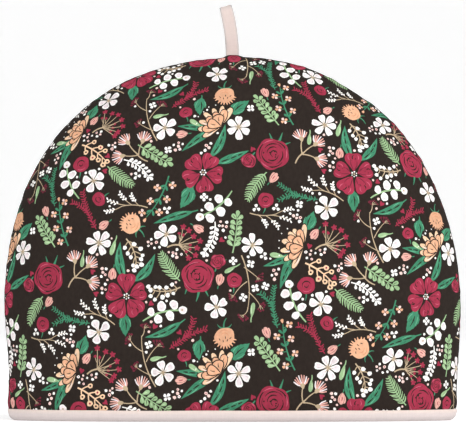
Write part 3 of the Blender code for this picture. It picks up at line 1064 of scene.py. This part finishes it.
def cloth_edge():
    """The flat panel's edge in metres, anticlockwise: the seam and then the hem."""
    seam = flat_curve(1.0, 0.0018)
    hem = evenly(seam[[-1, 0]], 0.0034)[1:-1]
    return np.concatenate([seam, hem])


def started_outside(outline):
    """The outline run anticlockwise from its leftmost corner. The triangulation marks what lies
    to the left of the first side, so this keeps it from marking all that lies outside."""
    first = int(np.argmin(outline[:, 0]))
    outline = np.roll(outline, -first, axis=0)
    ahead, behind = outline[1] - outline[0], outline[-1] - outline[0]
    if ahead[0] * behind[1] - ahead[1] * behind[0] < 0.0:
        outline = np.roll(outline[::-1], 1, axis=0)
    return outline


def triangulated(points, outlines):
    """Blender's constrained triangulation of flat points and closed outlines, in millimetres.

    The first outline bounds the cloth. Returns the points, the triangles inside that bound and,
    for each triangle, the number of the last outline that it lies in.
    """
    outlines = [started_outside(outline) for outline in outlines]
    corners = np.concatenate([*outlines, points])
    starts = np.cumsum([0, *(len(outline) for outline in outlines)])
    faces = [list(range(first, last)) for first, last in zip(starts[:-1], starts[1:])]
    made = delaunay_2d_cdt([Vector(corner) for corner in corners], [], faces, 0, 1e-4, True)
    flat = np.array([tuple(point) for point in made[0]])
    inside = [(face, max(within)) for face, within in zip(made[2], made[5]) if 0 in within]
    triangles = np.array([face for face, _ in inside])
    top = np.array([last for _, last in inside])
    used, numbers = np.unique(triangles, return_inverse=True)
    return flat[used], numbers.reshape(-1, 3), top


def rim_of(flat, triangles):
    """The numbers of the points on a triangulation's edge, anticlockwise round its middle."""
    sides = np.concatenate([triangles[:, [0, 1]], triangles[:, [1, 2]], triangles[:, [2, 0]]])
    low, high = sides.min(axis=1), sides.max(axis=1)
    keys, counts = np.unique(low * len(flat) + high, return_counts=True)
    single = keys[counts == 1]
    numbers = np.unique(np.concatenate([single // len(flat), single % len(flat)]))
    angle = np.arctan2(flat[numbers, 1] - WIDEST_HEIGHT / MM, flat[numbers, 0])
    return numbers[np.argsort(angle)]


def linear(ink):
    """An ink's linear colour from its sRGB hex."""
    shown = np.array([int(INKS[ink][place : place + 2], 16) / 255.0 for place in (0, 2, 4)])
    return np.where(shown <= 0.04045, shown / 12.92, ((shown + 0.055) / 1.055) ** 2.4)


def printed_shapes(offset, mirrored):
    """The repeat's shapes laid over a whole panel, as outlines in millimetres and colours."""
    draw = np.random.default_rng(41)
    outlines = []
    colours = []
    bound = cloth_edge() / MM
    low, high = bound.min(axis=0), bound.max(axis=0)
    for shapes in REPEAT:
        values = draw.uniform(0.93, 1.07, len(shapes))
        for column in range(-3, 4):
            for row in range(-3, 4):
                drop = row * REPEAT_HEIGHT + column * REPEAT_HEIGHT / 2
                shift = np.array([column * REPEAT_WIDTH, drop]) + offset
                for (outline, ink), value in zip(shapes, values):
                    spot = outline + shift
                    if (spot.max(axis=0) > low).all() and (spot.min(axis=0) < high).all():
                        outlines.append(spot * (-1.0, 1.0) if mirrored else spot)
                        colours.append(linear(ink) * value)
    return outlines, np.array(colours)


def fill_mesh(name, points, faces, normals, finishes):
    """A mesh object of these points and faces, with a normal for each corner."""
    mesh = bpy.data.meshes.new(name)
    mesh.from_pydata(points.tolist(), [], faces)
    mesh.shade_smooth()
    if normals is not None:
        mesh.normals_split_custom_set(normals.tolist())
    for finish in finishes:
        mesh.materials.append(finish)
    made = bpy.data.objects.new(name, mesh)
    bpy.context.scene.collection.objects.link(made)
    return made


# Painted shade at the seam's crease: how much darker the print is painted where the cloth turns in at the
# seam, and over which shares
SEAM_SHADE = 0.6
TURNING_FROM = 0.984
TURNING_OVER = 0.014


def panel(name, side, offset, seed, finishes):
    """One padded panel: printed cloth outside, plain cloth inside and a turned-in edge between.

    side is -1 for the panel in front of the seam and 1 for the one behind it.
    """
    waves = {
        "puckers": ripples(seed, 6, 0.007, 0.019),
        "patches": ripples(seed + 1, 3, 0.05, 0.13),
        "field": ripples(seed + 2, 7, 0.035, 0.090),
        "tucks": ripples(seed + 3, 5, 0.008, 0.024),
    }
    bound = cloth_edge() / MM
    outlines, inks = printed_shapes(offset, side > 0)
    flat, outer, top = triangulated(cloth_points() / MM, [bound, *outlines])
    colours = np.concatenate([[linear("ground")], inks])[top]
    middles = flat_share(flat[outer].mean(axis=1) * MM)
    # Painted shade: the print is darkened towards the seam, where the cloth turns in.
    seam_crease_shading = smooth_step((middles - TURNING_FROM) / TURNING_OVER)
    colours = colours * (1.0 - SEAM_SHADE * seam_crease_shading)[:, None]
    rim = rim_of(flat, outer)

    coarse = np.stack(np.meshgrid(np.arange(-200, 201, 9.0), np.arange(12, 305, 9.0)), axis=-1)
    coarse = coarse.reshape(-1, 2)
    coarse = coarse[flat_share(coarse * MM) < 0.965]
    back, inner, _ = triangulated(coarse, [flat[rim]])
    back_rim = rim_of(back, inner)
    if len(back_rim) != len(rim):
        raise ValueError(f"{name}: the rims have {len(rim)} and {len(back_rim)} points")

    surface = cloth_surface(waves)
    front_points, front_normals = facing(surface, flat * MM)
    back_points, back_normals = facing(lambda at: even_panel(at, 1.0)[0], back * MM)
    points = np.concatenate([front_points, back_points])
    inner = inner[:, ::-1] + len(flat)
    back_rim = back_rim + len(flat)
    edge = np.stack([rim, back_rim, np.roll(back_rim, -1), np.roll(rim, -1)], axis=1)

    along = points[edge[:, 3]] - points[edge[:, 0]]
    edge_normals = np.cross(points[edge[:, 1]] - points[edge[:, 0]], along)
    edge_normals /= np.maximum(np.linalg.norm(edge_normals, axis=1), 1e-12)[:, None]
    normals = np.concatenate(
        [
            front_normals[outer.ravel()],
            -back_normals[inner.ravel() - len(flat)],
            np.repeat(edge_normals, 4, axis=0),
        ]
    )
    faces = outer.tolist() + inner.tolist() + edge.tolist()
    if side > 0:
        points[:, 1] *= -1.0
        normals[:, 1] *= -1.0
        faces = [face[::-1] for face in faces]
        normals = np.concatenate(
            [
                normals[: outer.size + inner.size].reshape(-1, 3, 3)[:, ::-1].reshape(-1, 3),
                normals[outer.size + inner.size :],
            ]
        )
    made = fill_mesh(name, points, faces, normals, finishes)
    mesh = made.data
    slots = np.zeros(len(faces), dtype=np.int32)
    slots[len(outer) : len(outer) + len(inner)] = 1
    mesh.polygons.foreach_set("material_index", slots)

    spread = np.ones((len(mesh.loops), 4))
    spread[:, :3] = linear("ground")
    spread[: outer.size, :3] = np.repeat(colours, 3, axis=0)
    # The print's inks, with the painted seam shade in them.
    ink = mesh.color_attributes.new("print_and_seam_shade", "FLOAT_COLOR", "CORNER")
    ink.data.foreach_set("color", spread.ravel())
    plain = mesh.color_attributes.new("tint_and_painted_light", "FLOAT_COLOR", "CORNER")
    plain.data.foreach_set("color", np.ones(spread.size))

    numbers = np.zeros(len(mesh.loops), dtype=np.int32)
    mesh.loops.foreach_get("vertex_index", numbers)
    cloth = np.concatenate([flat, back + (0.0, 400.0)]) * MM + (0.25, 0.0)
    mesh.uv_layers.new(name="cloth").data.foreach_set("uv", cloth[numbers].ravel())
    return made


def tube_faces(stations, corners, closed_along, closed_around):
    """Quads of a net of stations by corners points, numbered station by station."""
    here = np.arange(stations if closed_along else stations - 1)[:, None]
    corner = np.arange(corners if closed_around else corners - 1)[None, :]
    there = (here + 1) % stations
    following = (corner + 1) % corners
    quads = (here * corners + corner, there * corners + corner, there * corners + following)
    faces = np.stack([*quads, here * corners + following], axis=-1)
    return faces.reshape(-1, 4).tolist()


def write_corners(made, uv, tint_and_painted_light):
    """Gives a piece its flat coordinates and its tint and painted light, one of each for each of its
    points.
    """
    mesh = made.data
    numbers = np.zeros(len(mesh.loops), dtype=np.int32)
    mesh.loops.foreach_get("vertex_index", numbers)
    mesh.uv_layers.new(name="cloth").data.foreach_set("uv", uv[numbers].ravel())
    spread = np.ones((len(numbers), 4))
    spread[:, :3] = tint_and_painted_light[numbers]
    layer = mesh.color_attributes.new("tint_and_painted_light", "FLOAT_COLOR", "CORNER")
    layer.data.foreach_set("color", spread.ravel())


def ring_line(spacing):
    """Even stations round the hem, from the right side seam along the front and back again
    behind: the share of the half width, the side and the length run so far in metres."""
    dense = np.linspace(1.0, -1.0, 2000)
    x = dense * half_width(0.004)
    y = half_depth(0.004) * swell(np.abs(dense))
    length = np.concatenate([[0.0], np.cumsum(np.hypot(np.diff(x), np.diff(y)))])
    stations = np.linspace(0.0, length[-1], int(round(length[-1] / spacing)) + 1)
    front = np.interp(stations, length, dense)
    shares = np.concatenate([front, front[-2:0:-1]])
    sides = np.concatenate([np.full(len(front), -1.0), np.full(len(front) - 2, 1.0)])
    return shares, sides, np.arange(len(shares)) * stations[1]


# Section of the binding, in millimetres outward from the panel's outer surface and up
BINDING_SECTION = (
    {"out": 0.30, "up": 7.9},
    {"out": 0.62, "up": 8.35},
    {"out": 1.05, "up": 8.2},
    {"out": 1.40, "up": 7.5},
    {"out": 1.62, "up": 6.4},
    {"out": 1.75, "up": 5.1},
    {"out": 1.75, "up": 3.8},
    {"out": 1.60, "up": 2.5},
    {"out": 1.30, "up": 1.3},
    {"out": 0.85, "up": 0.45},
    {"out": 0.25, "up": 0.0},
    {"out": -3.25, "up": 0.0},
    {"out": -3.85, "up": 0.45},
    {"out": -4.25, "up": 1.3},
    {"out": -4.45, "up": 2.6},
    {"out": -4.50, "up": 4.4},
    {"out": -4.40, "up": 6.4},
    {"out": -4.05, "up": 8.0},
    {"out": -3.65, "up": 8.3},
    {"out": -3.35, "up": 7.9},
    {"out": -3.28, "up": 1.15},
    {"out": 0.25, "up": 1.15},
)


# The binding's stations, and where its join lies and how wide it is
RING_STEP = 0.0009
JOIN_AT = 0.62
JOIN_WIDTH = 0.0009
# Painted shade on the binding's underside and a painted highlight on its top edge: how much darker and how
# much lighter they make it, as linear RGB
UNDERSIDE_PAINTED_SHADE = np.array([0.23, 0.22, 0.21])
BROW_PAINTED_HIGHLIGHT = np.array([0.13, 0.08, 0.02])


def binding(name, finish):
    """The folded tape round the hem: BINDING_SECTION carried round it, with slanting puckers
    and a butted join near the left side seam at the back."""
    shares, sides, run = ring_line(RING_STEP)
    total = run[-1] + run[1]
    drag = ripples(5, 6, 0.006, 0.017)
    slow = ripples(6, 4, 0.04, 0.12)
    ends = 1.0 - 0.5 * smooth_step((np.abs(shares) - 0.95) / 0.05)
    rings = []
    for row in BINDING_SECTION:
        out, up = row["out"] * MM, row["up"] * MM
        proud = smooth_step((row["out"] - 0.3) / 1.2) + smooth_step((-3.35 - row["out"]) / 1.0)
        ease = proud * math.sin(math.pi * min(up / 0.0088, 1.0))
        slant = run + 0.9 * up
        wave = 0.00026 * rippled(slant, 0.0, drag) + 0.00022 * rippled(run, 0.0, slow)
        join = np.exp(-(((run - JOIN_AT * total) / JOIN_WIDTH) ** 2))
        swing = 0.00022 * rippled(run, 0.0, slow[::-1]) * (1.0 if up > 0.006 else 0.0)
        outward = (out if out < 0 else out * ends) + ease * wave - 0.00035 * proud * join
        height = up + swing
        x = shares * half_width(height, -outward)
        y = sides * (half_depth(height, -outward) + GAP / 2) * swell(np.abs(shares))
        rings.append(np.stack([x, y, height + corner_lift(shares, height)], axis=1))
    points = np.stack(rings, axis=1)
    stations, corners = points.shape[:2]
    faces = [face[::-1] for face in tube_faces(stations, corners, True, True)]
    made = fill_mesh(name, points.reshape(-1, 3), faces, None, [finish])
    places = np.array([(row["out"], row["up"]) for row in BINDING_SECTION])
    steps = np.hypot(*np.diff(places, axis=0).T)
    around = np.concatenate([[0.0], np.cumsum(steps)]) * MM
    uv = np.stack(np.meshgrid(run, around, indexing="ij"), axis=-1).reshape(-1, 2)
    # Painted shade darkens the binding's underside, and a painted highlight lightens its top edge.
    underside_shading = 1.0 - smooth_step((places[:, 1] - 0.2) / 4.4)
    brow_highlight = smooth_step((places[:, 1] - 4.6) / 3.2)
    tint_and_painted_light = 1.0 - underside_shading[:, None] * UNDERSIDE_PAINTED_SHADE + brow_highlight[:, None] * BROW_PAINTED_HIGHLIGHT
    write_corners(made, uv, np.tile(tint_and_painted_light, (stations, 1)))
    return made


def leaned(across, y, rise, foot):
    """Where a point of the loop lies once the loop leans to the left in a bow."""
    up = np.clip(rise, 0.0, None)
    tilt = np.arctan(2.0 * LOOP_LEAN_PER_METRE * up)
    x = foot[0] - LOOP_LEAN_PER_METRE * up**2 + across * np.cos(tilt)
    return np.stack([x, y, foot[1] + rise + across * np.sin(tilt)], axis=-1)


# The loop's stations
LOOP_STEP = 0.0007
# The loop's tint down its middle, and how much painted shade darkens its folded edges and its top fold, as
# linear RGB
LOOP_WARMTH = np.array([0.965, 0.915, 0.88])
LOOP_EDGE_PAINTED_SHADE = np.array([0.17, 0.11, 0.08])


def hanging_loop(name, finish):
    """The tape of the loop: a rounded flat section carried up from the seam, round and down."""
    foot = (0.0, CROWN_HEIGHT + float(arch_bump(math.pi / 2)))
    turn = np.linspace(0.0, math.pi, 70)
    rise = LOOP_RISE * (1.0 - np.cos(turn)) / 2.0
    leg = LOOP_TAPE / 2 + GAP / 2
    y = leg * (1.0 + np.cos(turn)) / 2.0 + LOOP_BULGE * np.sin(turn) * np.sin(turn / 2.0) ** 2
    legs = np.stack([np.full(5, leg), np.linspace(-LOOP_IN_SEAM, -0.0006, 5)], axis=1)
    front = np.concatenate([legs, np.stack([y, rise], axis=1)]) * (-1.0, 1.0)
    line = evenly(np.concatenate([front, front[-2::-1] * (-1.0, 1.0)]), LOOP_STEP)
    along = np.gradient(line, axis=0)
    along /= np.linalg.norm(along, axis=1)[:, None]
    outward = np.stack([-along[:, 1], along[:, 0]], axis=1)
    run = np.arange(len(line)) * LOOP_STEP

    corners = 28
    turn = np.linspace(0.0, 2.0 * math.pi, corners, endpoint=False)
    across = LOOP_WIDTH / 2 * np.sign(np.cos(turn)) * np.abs(np.cos(turn)) ** 0.55
    thick = LOOP_TAPE / 2 * np.sign(np.sin(turn)) * np.abs(np.sin(turn)) ** 0.5
    wave = ripples(8, 5, 0.006, 0.02)
    rings = []
    for width, out in zip(across, thick):
        edge = 0.00018 * rippled(run, width * 2.0, wave) * (1.0 if out > 0 else 0.4)
        fold = -0.00022 * math.exp(-(((width - 0.0017) / 0.0004) ** 2)) * (out > 0)
        at = line + (out + edge + fold)[:, None] * outward
        side = width * (1.0 + 0.03 * rippled(run, 0.0, wave[::-1]))
        rings.append(leaned(side, at[:, 0], at[:, 1], foot))
    points = np.stack(rings, axis=1)
    stations = len(line)
    faces = [face[::-1] for face in tube_faces(stations, corners, False, True)]
    ends = [list(range(corners))[::-1], list(range((stations - 1) * corners, stations * corners))]
    made = fill_mesh(name, points.reshape(-1, 3), faces + ends, None, [finish])
    layer = across + 0.01 + 0.02 * (thick < 0)
    uv = np.stack(np.meshgrid(run, layer, indexing="ij"), axis=-1).reshape(-1, 2)
    # Painted shade darkens the loop's folded edges and the fold at its top.
    edges = smooth_step((np.abs(across) - 0.0030) / 0.0018)[None, :, None]
    top = np.exp(-(((line[:, 1] - LOOP_RISE) / 0.0018) ** 2))[:, None, None]
    middle = np.exp(-(((across - 0.0017) / 0.0005) ** 2))[None, :, None]
    painted_edge_shade = edges + 0.4 * top + 0.9 * top * edges
    tint_and_painted_light = LOOP_WARMTH * (1.0 - 0.04 * middle) - painted_edge_shade * LOOP_EDGE_PAINTED_SHADE
    write_corners(made, uv, tint_and_painted_light.reshape(-1, 3))
    return made


def add(tree, kind, inputs=None, **settings):
    """A node with its settings, and its inputs set to values or linked to sockets."""
    made = tree.nodes.new(kind)
    for key, value in settings.items():
        setattr(made, key, value)
    for key, value in (inputs or {}).items():
        if isinstance(value, bpy.types.NodeSocket):
            tree.links.new(value, made.inputs[key])
        else:
            made.inputs[key].default_value = value
    return made


def maths(tree, operation, *values):
    """The output of a Math node on numbers or sockets."""
    return add(tree, "ShaderNodeMath", dict(enumerate(values)), operation=operation).outputs[0]


def plain_weave():
    """Plain weave from a position counted in threads: the height of the upper thread from 0 to 1, and how
    much painted shade darkens the cloth between the threads, where they dip.

    A warp thread's height is a half circle across it plus a sine along it, whose sign changes
    from thread to thread. The weft is the same turned by a right angle, and the higher one shows.
    """
    tree = bpy.data.node_groups.new("plain_weave", "ShaderNodeTree")
    tree.interface.new_socket("Threads", in_out="INPUT", socket_type="NodeSocketVector")
    tree.interface.new_socket("Height", in_out="OUTPUT", socket_type="NodeSocketFloat")
    tree.interface.new_socket("Gap_shade", in_out="OUTPUT", socket_type="NodeSocketFloat")
    start = add(tree, "NodeGroupInput")
    split = add(tree, "ShaderNodeSeparateXYZ", {0: start.outputs["Threads"]})
    heights = []
    for across, along, sign in (("X", "Y", 0.34), ("Y", "X", -0.34)):
        at = maths(tree, "FRACT", split.outputs[across])
        number = maths(tree, "SUBTRACT", split.outputs[across], at)
        parity = maths(tree, "COSINE", maths(tree, "MULTIPLY", number, math.pi))
        wave = maths(tree, "SINE", maths(tree, "MULTIPLY", split.outputs[along], math.pi))
        off = maths(tree, "MULTIPLY_ADD", at, 2.0, -1.0)
        square = maths(tree, "MULTIPLY", off, off)
        crown = maths(tree, "SQRT", maths(tree, "MULTIPLY_ADD", square, -0.96, 1.0))
        over = maths(tree, "MULTIPLY", maths(tree, "MULTIPLY", parity, wave), sign)
        heights.append(maths(tree, "MULTIPLY_ADD", crown, 0.6, over))
    top = maths(tree, "MAXIMUM", *heights)
    gap = add(tree, "ShaderNodeMapRange", {"Value": top, "From Min": 0.62, "From Max": 0.34})
    end = add(tree, "NodeGroupOutput")
    tree.links.new(top, end.inputs["Height"])
    tree.links.new(gap.outputs[0], end.inputs["Gap_shade"])
    return tree


def shader_start(name, roughness):
    """A new material, its tree and its Principled shader."""
    made = bpy.data.materials.new(name)
    made.use_nodes = True
    tree = made.node_tree
    shader = tree.nodes["Principled BSDF"]
    shader.inputs["Roughness"].default_value = roughness
    shader.inputs["Specular IOR Level"].default_value = 0.06
    return made, tree, shader


def woven(tree, weave, threads_per_metre):
    """The weave group on the cloth's own flat coordinates."""
    place = add(tree, "ShaderNodeUVMap", uv_map="cloth")
    scaled = add(
        tree,
        "ShaderNodeVectorMath",
        {0: place.outputs[0], 1: (threads_per_metre, threads_per_metre * 0.94, 1.0)},
        operation="MULTIPLY",
    )
    group = add(tree, "ShaderNodeGroup", node_tree=weave)
    tree.links.new(scaled.outputs[0], group.inputs["Threads"])
    return place.outputs[0], group


def noise(tree, place, scale, detail=2.0, stretch=(1.0, 1.0, 1.0)):
    """A noise value from 0 to 1 at a place, with so many lumps in a metre."""
    scaled = add(tree, "ShaderNodeVectorMath", {0: place, 1: stretch}, operation="MULTIPLY")
    return add(
        tree,
        "ShaderNodeTexNoise",
        {"Vector": scaled.outputs[0], "Scale": scale, "Detail": detail, "Roughness": 0.55},
    ).outputs["Fac"]


def shaded(tree, colour, factor):
    """A colour multiplied by a value."""
    values = {"Factor": 1.0, 6: colour, 7: factor}
    return add(tree, "ShaderNodeMix", values, data_type="RGBA", blend_type="MULTIPLY").outputs[2]


def bumped(tree, shader, height, distance):
    """Links a bump of this height and distance to the shader, at half strength."""
    bump = add(tree, "ShaderNodeBump", {"Height": height, "Distance": distance, "Strength": 0.5})
    tree.links.new(bump.outputs[0], shader.inputs["Normal"])


def printed_cotton(weave):
    """The printed cloth: the ink of each corner, with the painted seam shade in it, brushed lighter and
    darker by two noises, and darkened between the threads by painted shade."""
    made, tree, shader = shader_start("printed_cotton_cloth", 0.88)
    place, group = woven(tree, weave, 2400.0)
    ink = add(tree, "ShaderNodeVertexColor", layer_name="print_and_seam_shade")
    brushed = noise(tree, place, 420.0, 3.0, (1.0, 0.55, 1.0))
    clouds = noise(tree, place, 60.0)
    value = maths(tree, "MULTIPLY_ADD", brushed, 0.56, 0.72)
    value = maths(tree, "MULTIPLY", value, maths(tree, "MULTIPLY_ADD", clouds, 0.20, 0.90))
    # Painted shade darkens the print between the threads.
    value = maths(tree, "MULTIPLY", value, maths(tree, "MULTIPLY_ADD", group.outputs["Gap_shade"], -0.22, 1.0))
    tree.links.new(shaded(tree, ink.outputs["Color"], value), shader.inputs["Base Color"])
    bumped(tree, shader, group.outputs["Height"], 0.00008)
    return made


def plain_cotton(weave, name, colour, threads, slub):
    """Plain woven cloth of one colour: threads of uneven thickness, gaps darkened by painted shade, and the
    tint and painted light that each piece carries at its corners: painted shade on its folds and edges, and
    on the binding a painted highlight along its top edge."""
    made, tree, shader = shader_start(name, 0.88)
    place, group = woven(tree, weave, threads)
    long = noise(tree, place, 900.0, 2.0, (0.12, 1.0, 1.0))
    wide = noise(tree, place, 900.0, 2.0, (1.0, 0.12, 1.0))
    value = maths(tree, "MULTIPLY_ADD", maths(tree, "ADD", long, wide), slub, 1.0 - slub)
    # Painted shade darkens the cloth between the threads.
    value = maths(tree, "MULTIPLY", value, maths(tree, "MULTIPLY_ADD", group.outputs["Gap_shade"], -0.16, 1.0))
    # The tint and painted light that each piece carries at its corners.
    tint_and_painted_light = add(tree, "ShaderNodeVertexColor", layer_name="tint_and_painted_light")
    toned = shaded(tree, tint_and_painted_light.outputs["Color"], value)
    tree.links.new(shaded(tree, colour, toned), shader.inputs["Base Color"])
    bumped(tree, shader, group.outputs["Height"], 0.00009)
    return made


WEAVE = plain_weave()
COTTON = printed_cotton(WEAVE)
INSIDE = plain_cotton(WEAVE, "inner_cotton", (0.62, 0.55, 0.44, 1.0), 2200.0, 0.12)
TAPE = plain_cotton(WEAVE, "pale_pink_tape", (0.685, 0.602, 0.585, 1.0), 2700.0, 0.10)

front = panel("front_cloth", -1, (40.0, 12.0), 100, [COTTON, INSIDE])
back = panel("back_cloth", 1, (-31.0, 64.0), 200, [COTTON, INSIDE])
hem = binding("hem_tape", TAPE)
loop = hanging_loop("loop_tape", TAPE)

for made, node, slot in (
    (front, "front_panel", "printed_cotton"),
    (back, "back_panel", "printed_cotton"),
    (hem, "hem_binding", "pink_tape"),
    (loop, "hanging_loop", "pink_tape"),
):
    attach(made, "root")
    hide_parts(node)


def studio_bowl():
    """The pale floor, which curves up all round the object to a pale wall."""
    turn = np.linspace(0.0, math.pi / 2, 20)
    curved = np.stack([11.0 + 3.0 * np.sin(turn), 3.0 - 3.0 * np.cos(turn)], axis=1)
    line = np.concatenate([[(0.001, 0.0), (1.0, 0.0), (5.0, 0.0)], curved, [(14.0, 12.0)]])
    around = np.linspace(0.0, 2.0 * math.pi, 72, endpoint=False)[:, None]
    x, y = line[:, 0] * np.cos(around), line[:, 0] * np.sin(around)
    points = np.stack([x, y, np.broadcast_to(line[:, 1] - 0.0002, x.shape)], axis=-1)
    made = fill_mesh("floor", points.reshape(-1, 3), tube_faces(72, len(line), True, False), None, [])
    finish = bpy.data.materials.new("floor_paper")
    finish.use_nodes = True
    shader = finish.node_tree.nodes["Principled BSDF"]
    shader.inputs["Base Color"].default_value = (0.93, 0.93, 0.93, 1.0)
    shader.inputs["Roughness"].default_value = 0.9
    shader.inputs["Emission Color"].default_value = (1.0, 1.0, 1.0, 1.0)
    shader.inputs["Emission Strength"].default_value = 0.30
    made.data.materials.append(finish)


def softbox(name, place, aim, size, power):
    """A square area light at a place, pointed at another."""
    data = bpy.data.lights.new(name, "AREA")
    data.shape = "SQUARE"
    data.size = size
    data.energy = power
    made = bpy.data.objects.new(name, data)
    made.location = place
    made.rotation_mode = "QUATERNION"
    made.rotation_quaternion = (Vector(aim) - Vector(place)).to_track_quat("-Z", "Y")
    bpy.context.scene.collection.objects.link(made)


studio_bowl()
softbox("key_light", (1.3, -1.8, 2.4), (0.0, 0.0, 0.12), 1.4, 52.0)
softbox("fill_light", (-1.7, -2.6, 1.1), (0.0, 0.0, 0.14), 1.6, 6.0)
softbox("back_light", (-0.6, 2.4, 2.2), (0.0, 0.0, 0.14), 1.6, 16.0)

world = bpy.data.worlds.new("studio")
world.use_nodes = True
world.node_tree.nodes["Background"].inputs["Color"].default_value = (1.0, 1.0, 1.0, 1.0)
world.node_tree.nodes["Background"].inputs["Strength"].default_value = 0.36
bpy.context.scene.world = world
bpy.context.scene.view_settings.view_transform = "Standard"

CAMERA_DISTANCE = 5.8
FRAME_WIDTH = 0.356
camera_data = bpy.data.cameras.new("camera")
camera_data.sensor_width = 36.0
camera_data.lens = 36.0 * CAMERA_DISTANCE / FRAME_WIDTH
camera_data.clip_end = 50.0
camera = bpy.data.objects.new("camera", camera_data)
camera.location = (0.0005, -CAMERA_DISTANCE, 0.158)
camera.rotation_euler = (math.pi / 2, 0.0, 0.0)
bpy.context.scene.collection.objects.link(camera)
bpy.context.scene.camera = camera
